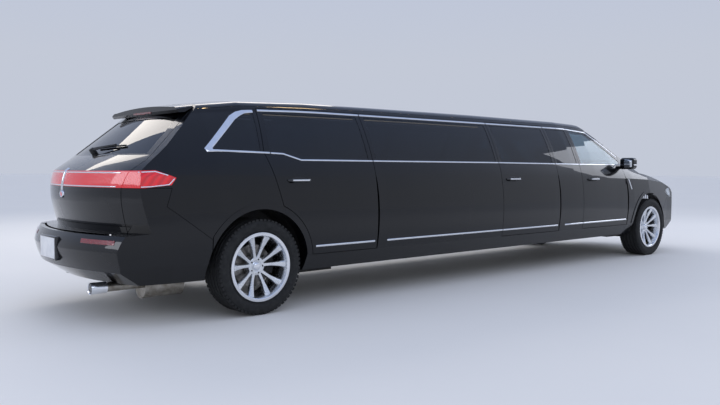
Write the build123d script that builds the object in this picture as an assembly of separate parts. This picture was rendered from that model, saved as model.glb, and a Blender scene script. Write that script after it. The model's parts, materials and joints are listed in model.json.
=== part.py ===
"""Stretch limousine on a lengthened full-size crossover body.

Millimetres. X runs forward, Y to the left, Z up. The origin lies on the ground,
midway between the tail and the nose.
"""

import os
from math import cos, radians, sin

from build123d import *

# Overall sizes
body_length = 8321.0
wheelbase = 6043.0
rear_overhang = 1268.0
track = 1663.0
half_width = 965.0
sill_height = 300.0

x_tail = -body_length / 2
x_nose = body_length / 2
x_rear_axle = x_tail + rear_overhang
x_front_axle = x_rear_axle + wheelbase

# Wheels and tyres
tyre_radius = 369.0
tyre_width = 255.0
tyre_bead_radius = 254.0
rim_flange_radius = 266.0
rim_width = 236.0
spoke_count = 10
hub_radius = 66.0
spindle_radius = 24.0
brake_disc_radius = 165.0
brake_disc_thickness = 26.0
arch_radius = 445.0
arch_lip_radius = 486.0
arch_lip_rise = 6.0
wheel_y = track / 2
kingpin_inset = 159.5

# Walls, gaps and clearances
wall_lower = 95.0
wall_upper = 42.0
roof_wall = 38.0
floor_top = 385.0
floor_plate = 40.0
shut_gap = 5.0
panel_gap = 3.0
skin = 18.0
inner_step = 24.0
glass_thickness = 5.0
glass_recess = 3.0
fit_gap = 0.3
clear_gap = 5.0

# Doors, in side view
door_bottom = 432.0
x_rear_door_front = -1697.0
x_fifth_door_rear = 57.0
x_fifth_door_front = 1067.0
x_front_door_rear = 1552.0
x_front_door_front = 2557.0
rear_door_arch_radius = 505.0
frame_width = 46.0

# Door hinges
hinge_inset = 12.0
hinge_depth = 45.0
hinge_pin_radius = 7.0
hinge_knuckle_radius = 12.0
hinge_heights = (600.0, 950.0)

# Windows, in side view
glass_top = 1572.0
belt_front = 1182.0
belt_middle = 1194.0
belt_rear = 1250.0

# Body cross-sections, one row for each place along the car, from the sill to the roof
# (x, y_sill, y_low, y_side, y_shoulder, z_shoulder, y_belt, z_belt,
#  y_rail, z_rail, y_crown, z_crown, z_roof)
body_stations = [
    (x_tail - 140, 700, 780, 822, 770, 1040, 650, 1200, 505, 1415, 400, 1478, 1500),
    (x_rear_axle - 700, 840, 905, 935, 900, 1075, 818, 1245, 612, 1505, 495, 1555, 1575),
    (x_rear_axle, 870, 940, half_width, 935, 1068, 864, 1240, 668, 1570, 556, 1652, 1682),
    (x_rear_axle + 1300, 870, 940, half_width, 930, 1040, 884, 1192, 690, 1594, 572, 1678, 1710),
    (x_front_axle - 1750, 870, 940, half_width, 930, 1030, 884, 1182, 690, 1592, 572, 1676, 1710),
    (x_front_axle - 850, 870, 938, 962, 922, 1010, 862, 1165, 640, 1560, 520, 1640, 1676),
    (x_front_axle, 860, 930, 958, 905, 985, 800, 1105, 560, 1480, 440, 1560, 1590),
    (x_nose + 140, 760, 830, 865, 800, 900, 690, 990, 460, 1340, 340, 1410, 1440),
]
z_low = 430.0
section_sags = (0.0, 0.045, 0.03, 0.03, 0.15)
blend_rows = 2

# Side silhouette on the centre line with its shift at the outermost station,
# clockwise from the chin: (x, z, shift of x, shift of z, bow of the run that follows)
edge_y = 980.0
outer_silhouette = [
    (x_nose - 190, 230, -240, 0, 0.06),
    (x_nose - 30, 420, -255, 0, 0.04),
    (x_nose, 700, -255, 0, 0.08),
    (x_nose - 95, 905, -260, -50, 0.03),
    (x_front_axle - 55, 1160, -115, -120, 0.0),
    (x_front_axle - 1300, 1745, -370, 0, 0.0),
    (x_rear_axle - 240, 1745, 193, 0, 0.0),
    (x_rear_axle - 910, 1217, 193, 0, 0.01),
    (x_rear_axle - 1125, 1098, 285, 0, 0.03),
    (x_rear_axle - 1153, 985, 285, 0, 0.02),
    (x_rear_axle - 1150, 880, 285, 0, 0.02),
    (x_rear_axle - 1095, 668, 275, 0, 0.0),
    (x_tail + 48, 655, 240, 0, 0.06),
    (x_tail, 545, 240, 0, 0.04),
    (x_tail + 45, 400, 240, 0, 0.0),
    (x_tail + 210, 292, 240, 0, 0.0),
]
cabin_silhouette = [
    (x_front_axle - 550, floor_top, 0, 0, 0.0),
    (x_front_axle - 550, 1125, -60, 0, 0.0),
    (x_front_axle - 250, 1165, -280, 0, 0.0),
    (x_front_axle - 1330, 1720, -370, 0, 0.0),
    (x_rear_axle - 185, 1720, 193, 0, 0.0),
    (x_rear_axle - 855, 1217, 193, 0, 0.0),
    (x_rear_axle - 1070, 1060, 285, 0, 0.0),
    (x_rear_axle - 1080, 700, 285, 0, 0.0),
    (x_rear_axle - 1040, floor_top + 60, 285, 0, 0.0),
    (x_rear_axle - 900, floor_top, 285, 0, 0.0),
]
plan_corners = [(x_tail - 30, 0), (x_tail + 50, 560), (x_tail + 172, 892), (x_tail + 860, 985),
                (x_nose - 860, 980), (x_nose - 200, 880), (x_nose - 50, 520), (x_nose + 30, 0)]
tail_corner_radius = 260.0
nose_corner_radius = 300.0


# Outlines and prisms

def bowed_edge(start, end, bow, normal):
    """Edge from start to end, bowed to the left of its run by a share of its length."""
    start = Vector(*start)
    end = Vector(*end)
    if abs(bow) < 1e-6:
        return Edge.make_line(start, end)
    side = Vector(*normal).cross(end - start).normalized()
    middle = (start + end) * 0.5 + side * ((end - start).length * bow)
    return Edge.make_three_point_arc(start, middle, end)


def outline(points, normal, bows=None):
    """Closed wire through 3-D points, with a bow for each run."""
    bows = bows or [0.0] * len(points)
    edges = []
    for i, bow in enumerate(bows):
        edges.append(bowed_edge(points[i], points[(i + 1) % len(points)], bow, normal))
    return Wire(edges)


def side_prism(points, y_from, y_to, bows=None):
    """Prism along Y from a side-view outline of (x, z) points."""
    wire = outline([(x, y_from, z) for x, z in points], (0, 1, 0), bows)
    return Solid.extrude(Face(wire), Vector(0, y_to - y_from, 0))


def front_prism(points, x_from, x_to):
    """Prism along X from a front-view outline of (y, z) points."""
    wire = outline([(x_from, y, z) for y, z in points], (1, 0, 0))
    return Solid.extrude(Face(wire), Vector(x_to - x_from, 0, 0))


def plan_prism(points, z_from, z_to, bows=None):
    """Prism along Z from a plan-view outline of (x, y) points."""
    wire = outline([(x, y, z_from) for x, y in points], (0, 0, 1), bows)
    return Solid.extrude(Face(wire), Vector(0, 0, z_to - z_from))


def block(x_from, x_to, y_from, y_to, z_from, z_to):
    """Box between two corners."""
    size = (abs(x_to - x_from), abs(y_to - y_from), abs(z_to - z_from))
    centre = ((x_from + x_to) / 2, (y_from + y_to) / 2, (z_from + z_to) / 2)
    return Solid.make_box(*size).moved(Location([c - s / 2 for c, s in zip(centre, size)]))


def tube(point, direction, radius, length):
    """Cylinder from a point along a direction."""
    return Solid.make_cylinder(radius, length, Plane(point, z_dir=direction))


def shifted(shape, x=0.0, y=0.0, z=0.0):
    """Copy of a shape moved by the given distances."""
    return shape.moved(Location((x, y, z)))


def mirrored(shape):
    """Copy of a shape on the other side of the car."""
    return shape.mirror(Plane.XZ)


def joined(shapes):
    """Union of a list of solids."""
    total = shapes[0]
    for shape in shapes[1:]:
        total = total + shape
    return total


# Body volumes

def section_wire(station, t_low, t_up, t_roof, z_floor):
    """Cross-section of the body at one station, drawn in by the given walls."""
    (x, y_sill, y_low, y_side, y_sh, z_sh, y_belt, z_belt,
     y_rail, z_rail, y_crown, z_crown, z_roof) = station
    side = [
        (y_sill - t_low, z_floor),
        (y_low - t_low, max(z_low, z_floor + 40)),
        (y_sh - t_low, z_sh),
        (y_belt - t_up, z_belt),
        (y_rail - t_up, z_rail - 0.3 * t_roof),
        (y_crown - 0.4 * t_up, z_crown - t_roof),
    ]
    right = []
    left = []
    for (y0, z0), (y1, z1), sag in zip(side, side[1:], section_sags):
        right.append(bowed_edge((x, -y0, z0), (x, -y1, z1), -sag, (-1, 0, 0)))
        left.append(bowed_edge((x, y1, z1), (x, y0, z0), sag, (1, 0, 0)))
    y_top, z_top = side[-1]
    top = Edge.make_three_point_arc((x, -y_top, z_top), (x, 0, z_roof - t_roof), (x, y_top, z_top))
    bottom = Edge.make_line((x, side[0][0], z_floor), (x, -side[0][0], z_floor))
    return Wire(right + [top] + left[::-1] + [bottom])


def blended_stations():
    """Cross-sections with smooth in-between rows where the body tapers."""
    rows = [body_stations[0]]
    last = len(body_stations) - 1
    for i in range(last):
        a = body_stations[max(i - 1, 0)]
        b, c = body_stations[i], body_stations[i + 1]
        d = body_stations[min(i + 2, last)]
        steps = 1 if b[3] == c[3] and b[9] == c[9] else blend_rows
        for k in range(1, steps + 1):
            t = k / steps
            row = []
            for va, vb, vc, vd in zip(a, b, c, d):
                slope_b = (vc - va) / max(c[0] - a[0], 1.0) * (c[0] - b[0])
                slope_c = (vd - vb) / max(d[0] - b[0], 1.0) * (c[0] - b[0])
                if c[3] == d[3] and c[9] == d[9]:
                    slope_c = 0.0
                if a[3] == b[3] and a[9] == b[9]:
                    slope_b = 0.0
                h = t * t * (3 - 2 * t)
                row.append(vb + (vc - vb) * h + slope_b * t * (1 - t) ** 2 - slope_c * t * t * (1 - t))
            row[0] = b[0] + (c[0] - b[0]) * t
            rows.append(tuple(row))
    return rows


def section_loft(t_low, t_up, t_roof, z_floor):
    """Volume lofted through all the cross-sections."""
    wires = [section_wire(row, t_low, t_up, t_roof, z_floor) for row in blended_stations()]
    return Solid.make_loft(wires, ruled=True)


def silhouette_loft(nodes):
    """Volume whose side silhouette sweeps back from the centre line to both sides."""
    wires = []
    for y, share in ((-edge_y, 1.0), (0.0, 0.0), (edge_y, 1.0)):
        points = [(x + share * dx, y, z + share * dz) for x, z, dx, dz, bow in nodes]
        wires.append(outline(points, (0, 1, 0), [node[4] for node in nodes]))
    return Solid.make_loft(wires)


def plan_volume():
    """Upright prism that rounds the four corners of the body in plan."""
    points = plan_corners + [(x, -y) for x, y in plan_corners[-2:0:-1]]
    prism = plan_prism(points, 0, 2000)
    upright = [e for e in prism.edges() if abs(e.tangent_at(0.5).Z) > 0.9]
    tail = [e for e in upright if e.center().X < x_tail + 300 and abs(e.center().Y) > 700]
    nose = [e for e in upright if e.center().X > x_nose - 300 and abs(e.center().Y) > 700]
    return prism.fillet(tail_corner_radius, tail).fillet(nose_corner_radius, nose)


outer = section_loft(0, 0, 0, sill_height) & silhouette_loft(outer_silhouette) & plan_volume()
cabin = section_loft(wall_lower, wall_upper, roof_wall, floor_top) & silhouette_loft(cabin_silhouette)


def half_space(side):
    """Box that holds one side of the car."""
    return block(x_tail - 200, x_nose + 200, 0, side * 1200, 0, 2000)


outer_half = {side: outer & half_space(side) for side in (-1, 1)}


def side_layer(side, region, depth, thickness):
    """Layer of one side of the body at a depth under its skin."""
    piece = shifted(outer_half[side], y=-side * depth) & region
    return piece - shifted(outer, y=-side * (depth + thickness))


# Side-view outlines of the doors and windows

def arch_point(z, radius):
    """Front point of a circle about the rear axle at a height."""
    rise = z - tyre_radius
    return x_rear_axle + (radius**2 - rise**2) ** 0.5


# Top of the door frames along the car
frame_line = [(x_rear_axle - 100, 1590), (x_rear_axle + 600, 1608), (x_front_axle - 1650, 1606),
              (x_front_axle - 1160, 1578)]


def frame_height(x):
    """Height of the top of the door frames at a place along the car."""
    for (x0, z0), (x1, z1) in zip(frame_line, frame_line[1:]):
        if x <= x1:
            return z0 + (z1 - z0) * (x - x0) / (x1 - x0)
    return frame_line[-1][1]


def pillar_height(x):
    """Height of the front door frame's edge under the windscreen pillar."""
    (x0, z0), (x1, z1) = frame_line[-1], (x_front_door_front, 1270)
    return z0 + (z1 - z0) * (x - x0) / (x1 - x0)


def offset_prism(points, bows, amount, y_from, y_to):
    """Side prism whose outline is offset outwards (or inwards, if negative)."""
    wire = outline([(x, y_from, z) for x, z in points], (0, 1, 0), bows)
    if abs(amount) > 1e-6:
        wire = wire.offset_2d(amount, kind=Kind.INTERSECTION)
    return Solid.extrude(Face(wire), Vector(0, y_to - y_from, 0))


arch_bow = 0.13
rear_door = (
    [(x_rear_door_front, door_bottom), (x_rear_door_front, frame_height(x_rear_door_front)),
     (x_rear_axle + 140, frame_height(x_rear_axle + 140)), (x_rear_axle + 84, 1251),
     (x_rear_axle + 153, 1003), (arch_point(832, rear_door_arch_radius), 832),
     (arch_point(door_bottom, rear_door_arch_radius), door_bottom)],
    [0, 0, 0, 0, 0, -arch_bow, 0],
)
fifth_door = (
    [(x_fifth_door_front, door_bottom), (x_fifth_door_front, frame_height(x_fifth_door_front)),
     (x_fifth_door_rear, frame_height(x_fifth_door_rear)), (x_fifth_door_rear, door_bottom)],
    [0, 0, 0, 0],
)
front_door = (
    [(x_front_door_front, door_bottom), (x_front_door_front, pillar_height(x_front_door_front)),
     (x_front_axle - 1160, frame_line[-1][1]), (x_front_door_rear, frame_height(x_front_door_rear)),
     (x_front_door_rear, door_bottom)],
    [0, 0, 0, 0, 0],
)
doors = {"rear_door": rear_door, "fifth_door": fifth_door, "front_door": front_door}

rear_door_glass = [
    (x_rear_door_front - frame_width, belt_middle), (x_rear_door_front - frame_width, glass_top),
    (x_rear_axle + 185, glass_top - 12), (x_rear_axle + 135, belt_rear), (x_rear_axle + 260, belt_rear - 4),
    (x_rear_axle + 420, belt_middle + 6)]
fifth_door_glass = [
    (x_fifth_door_front - frame_width, belt_middle - 5), (x_fifth_door_front - frame_width, glass_top),
    (x_fifth_door_rear + frame_width, glass_top), (x_fifth_door_rear + frame_width, belt_middle)]
front_door_glass = [
    (x_front_door_front - 20, belt_front),
    (x_front_door_front - 20, pillar_height(x_front_door_front - 20) - 62),
    (x_front_axle - 1185, frame_line[-1][1] - 34), (x_front_door_rear + frame_width, glass_top),
    (x_front_door_rear + frame_width, belt_middle - 8)]
door_glass = {"rear_door": rear_door_glass, "fifth_door": fifth_door_glass,
              "front_door": front_door_glass}

quarter_glass = [
    (x_rear_axle + 52, belt_rear + 6), (x_rear_axle + 95, glass_top - 16), (x_rear_axle + 20, glass_top - 22),
    (x_rear_axle - 85, 1500), (x_rear_axle - 352, 1270)]
middle_glass = [
    (x_fifth_door_rear - frame_width, belt_middle), (x_fifth_door_rear - frame_width, glass_top),
    (x_rear_door_front + frame_width, glass_top), (x_rear_door_front + frame_width, belt_middle)]
filler_glass = [
    (x_front_door_rear - frame_width, belt_middle - 7), (x_front_door_rear - frame_width, glass_top),
    (x_fifth_door_front + frame_width, glass_top), (x_fifth_door_front + frame_width, belt_middle - 5)]
hinge_y = half_width - hinge_depth


def hinge_x(name):
    """Place of a door's hinge axis along the car."""
    front = {"rear_door": x_rear_door_front, "fifth_door": x_fifth_door_front,
             "front_door": x_front_door_front}
    return front[name] - hinge_inset


def hinge_sweep(name, side):
    """Round space that the front edge of a door sweeps as it opens."""
    x = hinge_x(name)
    reach = [(door_bottom - shut_gap, 30.0), (z_low + 330.0, 53.0), (1060.0, 20.0)]
    (z0, r0), (zm, rm), (z1, r1) = reach
    edges = [
        Edge.make_line((x, hinge_y, z0), (x + r0, hinge_y, z0)),
        Edge.make_three_point_arc((x + r0, hinge_y, z0), (x + rm, hinge_y, zm), (x + r1, hinge_y, z1)),
        Edge.make_line((x + r1, hinge_y, z1), (x, hinge_y, z1)),
        Edge.make_line((x, hinge_y, z1), (x, hinge_y, z0)),
    ]
    sweep = Solid.revolve(Face(Wire(edges)), 360, Axis((x, hinge_y, 0), (0, 0, 1)))
    return sweep if side > 0 else mirrored(sweep)


def hinge_arms(name, side):
    """Pins, knuckles and cranked arms that carry a door from its pillar."""
    x = hinge_x(name)
    pieces = []
    for z in hinge_heights:
        pieces.append(tube((x, hinge_y, z - 42), (0, 0, 1), hinge_pin_radius, 84))
        pieces.append(tube((x, hinge_y, z - 22), (0, 0, 1), hinge_knuckle_radius, 44))
        pieces.append(block(x - 8, x + 8, hinge_y - 52, hinge_y, z - 18, z + 18))
        pieces.append(block(x - 8, x + 62, hinge_y - 52, hinge_y - 36, z - 18, z + 18))
    arms = joined(pieces)
    return arms if side > 0 else mirrored(arms)


def hinge_pockets(name, side):
    """Notches and bores of a door round its hinges."""
    x = hinge_x(name)
    pieces = []
    for z in hinge_heights:
        pieces.append(block(x - 16, x + 60, hinge_y - 90, hinge_y + 14, z - 27, z + 27))
        pieces.append(tube((x, hinge_y, z - 50), (0, 0, 1), hinge_pin_radius + fit_gap, 100))
    pockets = joined(pieces)
    return pockets if side > 0 else mirrored(pockets)


nodes = {}


def keep(name, shape):
    """Store a finished node under its name."""
    nodes[name] = shape


# Regions that part the shell into panels

roof_rear = x_rear_axle - 372
roof_front = x_front_axle - 1085
roof_edge = [(roof_rear, 1572), (x_rear_axle, 1616), (x_rear_axle + 1300, 1640),
             (x_front_axle - 1750, 1638), (x_front_axle - 1000, 1604), (x_front_axle - 700, 1500)]
roof_region = side_prism(roof_edge + [(roof_edge[-1][0], 1900), (roof_rear, 1900)], -1100, 1100)
fender_rear = x_front_door_front + shut_gap
pillar_foot = 1150.0

gate_rear_view = [(-700, 660), (700, 660), (712, 980), (770, 1180), (600, 1540), (520, 1900),
                  (-520, 1900), (-600, 1540), (-770, 1180), (-712, 980)]
gate_side_view = [(roof_rear - shut_gap, 1900), (roof_rear - shut_gap, 1500), (x_rear_axle - 560, 1300),
                  (x_rear_axle - 760, 1130), (x_rear_axle - 800, 660), (x_tail - 100, 660),
                  (x_tail - 100, 1900)]
gate_glass_view = [(-690, 1228), (690, 1228), (545, 1506), (-545, 1506)]
lamp_band = [(x_tail - 100, 985), (x_tail - 100, 1096), (x_rear_axle - 815, 1108),
             (x_rear_axle - 680, 1056), (x_rear_axle - 719, 1004), (x_rear_axle - 900, 985)]
rear_bumper_view = [(x_tail - 100, 982), (x_rear_axle - 718, 982), (x_rear_axle - 760, 853),
                    (x_rear_axle - 418, 604), (x_rear_axle - 418, 200), (x_tail - 100, 200)]

cowl_x = x_front_axle - 55
cowl_sweep = 115.0
hood_rear_y = 700.0
hood_front_y = 560.0
front_bumper_view = [(x_front_axle + 419, 200), (x_front_axle + 419, 520), (x_front_axle + 570, 745),
                     (x_nose + 100, 745), (x_nose + 100, 200)]
headlamp_view = [(x_front_axle + 550, 800), (x_front_axle + 700, 748), (x_nose + 100, 748),
                 (x_nose + 100, 872), (x_front_axle + 780, 888), (x_front_axle + 550, 842)]
headlamp_inner_y = 470.0
grille_view = [(-30, 500), (-30, 872), (-250, 868), (-452, 820), (-430, 560)]
grille_pitch = 30.0


def grown_prism(points, amount, y_from=-1200, y_to=1200):
    """Side prism of a straight-sided outline, grown by an amount."""
    return offset_prism(points, None, amount, y_from, y_to)


def grown_front(points, amount, x_from, x_to):
    """Front prism of a straight-sided outline, grown by an amount."""
    wire = outline([(x_from, y, z) for y, z in points], (1, 0, 0))
    if abs(amount) > 1e-6:
        wire = wire.offset_2d(amount, kind=Kind.INTERSECTION)
    return Solid.extrude(Face(wire), Vector(x_to - x_from, 0, 0))


def gate_region(grow=0.0):
    """Region of the liftgate, grown by a gap."""
    return (grown_prism(gate_side_view, grow)
            & grown_front(gate_rear_view, grow, x_tail - 200, x_rear_axle))


def cowl_arc_x(y, offset):
    """Place of the line between hood and windscreen, at a distance across the car."""
    return cowl_x + offset - cowl_sweep * (y / edge_y) ** 2


def hood_region(grow=0.0):
    """Region of the hood in plan, grown by a gap."""
    y_rear = hood_rear_y
    rear = cowl_arc_x(0, 6)
    corner = cowl_arc_x(y_rear, 6)
    front = x_nose - 108
    front_corner = x_nose - 205
    edges = [
        Edge.make_three_point_arc((corner, -y_rear, 800), (rear, 0, 800), (corner, y_rear, 800)),
        Edge.make_line((corner, y_rear, 800), (front_corner, hood_front_y, 800)),
        Edge.make_three_point_arc((front_corner, hood_front_y, 800), (front, 0, 800),
                                  (front_corner, -hood_front_y, 800)),
        Edge.make_line((front_corner, -hood_front_y, 800), (corner, -y_rear, 800)),
    ]
    wire = Wire(edges)
    if grow:
        wire = wire.offset_2d(grow, kind=Kind.INTERSECTION)
    return Solid.extrude(Face(wire), Vector(0, 0, 600))


def behind_cowl_line(offset):
    """Everything behind the cowl line moved by an offset, in plan."""
    y = 800.0
    edges = [
        Edge.make_three_point_arc((cowl_arc_x(y, offset), -y, 700), (cowl_arc_x(0, offset), 0, 700),
                                  (cowl_arc_x(y, offset), y, 700)),
        Edge.make_line((cowl_arc_x(y, offset), y, 700), (x_rear_axle, y, 700)),
        Edge.make_line((x_rear_axle, y, 700), (x_rear_axle, -y, 700)),
        Edge.make_line((x_rear_axle, -y, 700), (cowl_arc_x(y, offset), -y, 700)),
    ]
    return Solid.extrude(Face(Wire(edges)), Vector(0, 0, 1200))


screen_view = [(-735, 1150), (-735, 1185), (-560, 1640), (0, 1730), (560, 1640), (735, 1185), (735, 1150),
               (735, 900), (-735, 900)]


def wheel_arch(x_axle, side, radius, y_from=400.0, y_to=1200.0):
    """Round space about a wheel."""
    return tube((x_axle, side * y_from, tyre_radius), (0, side, 0), radius, y_to - y_from)


def arch_lip(x_axle, side, x_from, x_to):
    """Raised lip round a wheel opening."""
    lip = shifted(outer_half[side], y=side * arch_lip_rise) & wheel_arch(x_axle, side, arch_lip_radius, 780)
    lip = lip & block(x_from, x_to, side * 700, side * 1100, 436, 1000)
    lip = lip - shifted(outer_half[side], y=-side * skin) - wheel_arch(x_axle, side, arch_radius, 700)
    return lip


def body_sides():
    """Both sides of the body shell with their door and window openings."""
    half = outer_half[-1] & block(x_tail - 100, x_front_axle + 60, -1200, -300, 0, 2000)
    half = half - cabin
    half = half - shifted(roof_region, z=-panel_gap)
    half = half - block(x_tail, x_front_axle, -780, -200, 0, floor_top + 30)
    half = half - block(fender_rear - panel_gap, x_front_axle + 200, -1200, -200, 0, pillar_foot)
    half = half - front_prism(screen_view, roof_front, x_front_axle + 300)
    half = half - gate_region(shut_gap)
    half = half - block(roof_rear - 10, roof_rear + 60, -gate_hinge_y - 22, -300, 1440, 1569)
    half = half - grown_prism(rear_bumper_view, panel_gap) - grown_prism(lamp_band, 1.0)
    half = half - wheel_arch(x_rear_axle, -1, arch_radius, 600)
    half = half + arch_lip(x_rear_axle, -1, x_rear_axle - 414, x_rear_axle + 500)
    for door in ("rear_door", "front_door"):
        points, bows = doors[door]
        half = half - offset_prism(points, bows, shut_gap, -1200, -400)
        half = half - hinge_sweep(door, -1)
    for points in (quarter_glass, middle_glass, filler_glass):
        half = half - side_prism(points, -1200, -300)
    half = half + hinge_arms("rear_door", -1)
    left = mirrored(half) - side_prism(fifth_door_glass, 300, 1200)
    points, bows = doors["fifth_door"]
    right = half - offset_prism(points, bows, shut_gap, -1200, -400)
    right = right - hinge_sweep("fifth_door", -1) + hinge_arms("fifth_door", -1)
    keep("body_side_right", right)
    keep("body_side_left", left)


def side_door_panels():
    """Doors with stepped edges, window openings, hinge pockets and their panes."""
    for door, (points, bows) in doors.items():
        full = offset_prism(points, bows, 0, -1200, -400)
        small = offset_prism(points, bows, -inner_step, -1200, -400)
        window = side_prism(door_glass[door], -1200, -300)
        panel = (outer_half[-1] & small) - cabin
        panel = panel + side_layer(-1, full, 0, skin)
        if door == "rear_door":
            panel = panel - wheel_arch(x_rear_axle, -1, arch_lip_radius + shut_gap, 600)
        panel = panel - window - hinge_pockets(door, -1)
        pane = side_layer(-1, window, glass_recess, glass_thickness)
        if door == "front_door":
            panel = panel + door_mirror()
        keep(f"{door}_right", panel)
        keep(f"{door}_glass_right", pane)
        if door != "fifth_door":
            keep(f"{door}_left", mirrored(panel))
            keep(f"{door}_glass_left", mirrored(pane))


def door_mirror():
    """Right-hand door mirror: a rounded shell on a short arm."""
    x = x_front_door_front - 95
    shell = block(x - 55, x + 75, -1088, -905, 1120, 1262)
    shell = shell.fillet(38, shell.edges())
    arm = block(x - 25, x + 35, -960, -850, 1122, 1160)
    return shell + arm


def fixed_side_glass():
    """Fixed panes of both sides in one node."""
    panes = []
    for points in (quarter_glass, middle_glass, filler_glass):
        prism = side_prism(points, -1200, -300)
        pane = side_layer(-1, prism, glass_recess, glass_thickness)
        panes += [pane, mirrored(pane)]
    prism = side_prism(fifth_door_glass, 300, 1200)
    panes.append(side_layer(1, prism, glass_recess, glass_thickness))
    keep("fixed_side_glass", Compound(panes))


gate_hinge_x = roof_rear + 100.0
gate_hinge_z = 1530.0
gate_hinge_y = 540.0
gate_skin = 8.0
gate_depth = 42.0
gate_frame_inset = 16.0
gate_arm_width = 16.0
gate_pin_radius = 6.0


def turned_edge(x, z, reach, radius_outer, radius_middle):
    """Space about a cross-car hinge axis that a panel's edge must stay outside of."""
    edges = [
        Edge.make_line((x, -reach, z), (x, -reach, z + radius_outer)),
        Edge.make_three_point_arc((x, -reach, z + radius_outer), (x, 0, z + radius_middle),
                                  (x, reach, z + radius_outer)),
        Edge.make_line((x, reach, z + radius_outer), (x, reach, z)),
        Edge.make_line((x, reach, z), (x, -reach, z)),
    ]
    return Solid.revolve(Face(Wire(edges)), 360, Axis((x, 0, z), (0, 1, 0)))


def roof():
    """Roof panel over the whole cabin with the brackets and pins of the liftgate's hinges."""
    panel = (outer & roof_region) - cabin
    panel = panel - block(roof_front, x_front_axle, -1100, 1100, 1200, 1900)
    x = gate_hinge_x
    z = gate_hinge_z
    cheek_y = gate_hinge_y - gate_arm_width / 2 - 12
    for side in (-1, 1):
        panel = panel + block(x - 12, x + 12, side * (cheek_y - 10), side * cheek_y, z - 12, z + 74)
        pin_start = (x, side * (cheek_y - 2), z)
        panel = panel + tube(pin_start, (0, side, 0), gate_pin_radius, gate_arm_width + 18)
    keep("roof", panel)


def gate_arm(side):
    """Swan-neck arm from the liftgate's inner frame to its hinge pin."""
    x = gate_hinge_x
    z = gate_hinge_z
    line = [(0, 0), (-52, -130), (-130, -80), (-166, -6)]
    pieces = [tube((x, side * (gate_hinge_y - gate_arm_width / 2), z), (0, side, 0), 15, gate_arm_width)]
    for (x0, z0), (x1, z1) in zip(line, line[1:]):
        run = Vector(x1 - x0, 0, z1 - z0)
        across = Vector(0, 1, 0).cross(run).normalized() * 8
        corners = [Vector(x + x0, 0, z + z0) + across, Vector(x + x1, 0, z + z1) + across,
                   Vector(x + x1, 0, z + z1) - across, Vector(x + x0, 0, z + z0) - across]
        y_middle = side * gate_hinge_y
        y0, y1 = y_middle - gate_arm_width / 2, y_middle + gate_arm_width / 2
        pieces.append(side_prism([(c.X, c.Z) for c in corners], y0, y1))
    for x1, z1 in line[1:-1]:
        pieces.append(tube((x + x1, side * (gate_hinge_y - gate_arm_width / 2), z + z1), (0, side, 0), 8,
                           gate_arm_width))
    return joined(pieces)


def liftgate():
    """Liftgate panel with its spoiler and swan-neck arms, its pane and its lamp bar."""
    region = gate_region()
    inner_view = grown_front(gate_rear_view, -gate_frame_inset, x_tail - 200, x_rear_axle)
    skin_part = (outer & region) - shifted(outer, gate_skin, 0, -gate_skin / 2)
    frame_part = ((outer & region) & inner_view) - shifted(outer, gate_depth, 0, -14)
    spoiler_view = [(roof_rear - shut_gap, 1900), (x_rear_axle - 500, 1900), (x_rear_axle - 516, 1560),
                    (x_rear_axle - 500, 1540), (x_rear_axle - 452, 1545), (roof_rear - shut_gap, 1585)]
    crown = section_loft(0, 0, 0, sill_height)
    spoiler = (crown & side_prism(spoiler_view, -640, 640)) & grown_front(gate_rear_view, 0, x_tail, x_rear_axle)
    window = front_prism(gate_glass_view, x_tail, x_rear_axle - 380)
    lamp_space = (outer & grown_prism(lamp_band, 1.0)) - shifted(outer, 27, 0, -9)
    panel = (skin_part + frame_part) - window
    panel = panel + spoiler
    panel = panel - lamp_space
    panel = panel - turned_edge(gate_hinge_x, gate_hinge_z, 625.0, 121.0, 148.0)
    for side in (-1, 1):
        panel = panel + gate_arm(side)
        bore_start = (gate_hinge_x, side * (gate_hinge_y - 50), gate_hinge_z)
        panel = panel - tube(bore_start, (0, side, 0), gate_pin_radius + fit_gap, 100)
    keep("liftgate", panel)
    glass_body = shifted(outer, 2.4, 0, -3)
    pane = (glass_body & window) - shifted(outer, 6.5, 0, -8)
    keep("liftgate_glass", pane & block(x_tail, x_rear_axle - 400, -800, 800, 1100, 1600))
    lamp = (outer & region & side_prism(lamp_band, -1200, 1200)) - shifted(outer, 26, 0, -8)
    keep("liftgate_lamp", lamp)


def quarter_lamps():
    """Tail lamps on the quarter panels, in line with the liftgate's lamp bar."""
    region = side_prism(lamp_band, -1200, 1200)
    piece = (outer_half[-1] & region) - gate_region(shut_gap)
    piece = piece - shifted(outer, 34, 34, 0)
    keep("quarter_lamps", Compound([piece, mirrored(piece)]))


def rear_bumper():
    """Rear bumper cover that rises to the lamps at both corners."""
    region = side_prism(rear_bumper_view, -1200, 0)
    half = (outer_half[-1] & region) - gate_region(shut_gap)
    half = half - shifted(outer, 30, 20, 0)
    half = half - wheel_arch(x_rear_axle, -1, arch_radius, 600)
    half = half - tube((x_tail, -560, 278), (1, 0, 0), 44, 800)
    keep("rear_bumper", half + mirrored(half))


def fender_inside(side):
    """Space inside the sheet of the front fender on one side."""
    return shifted(outer, -24, -16 * side, -16)


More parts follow.
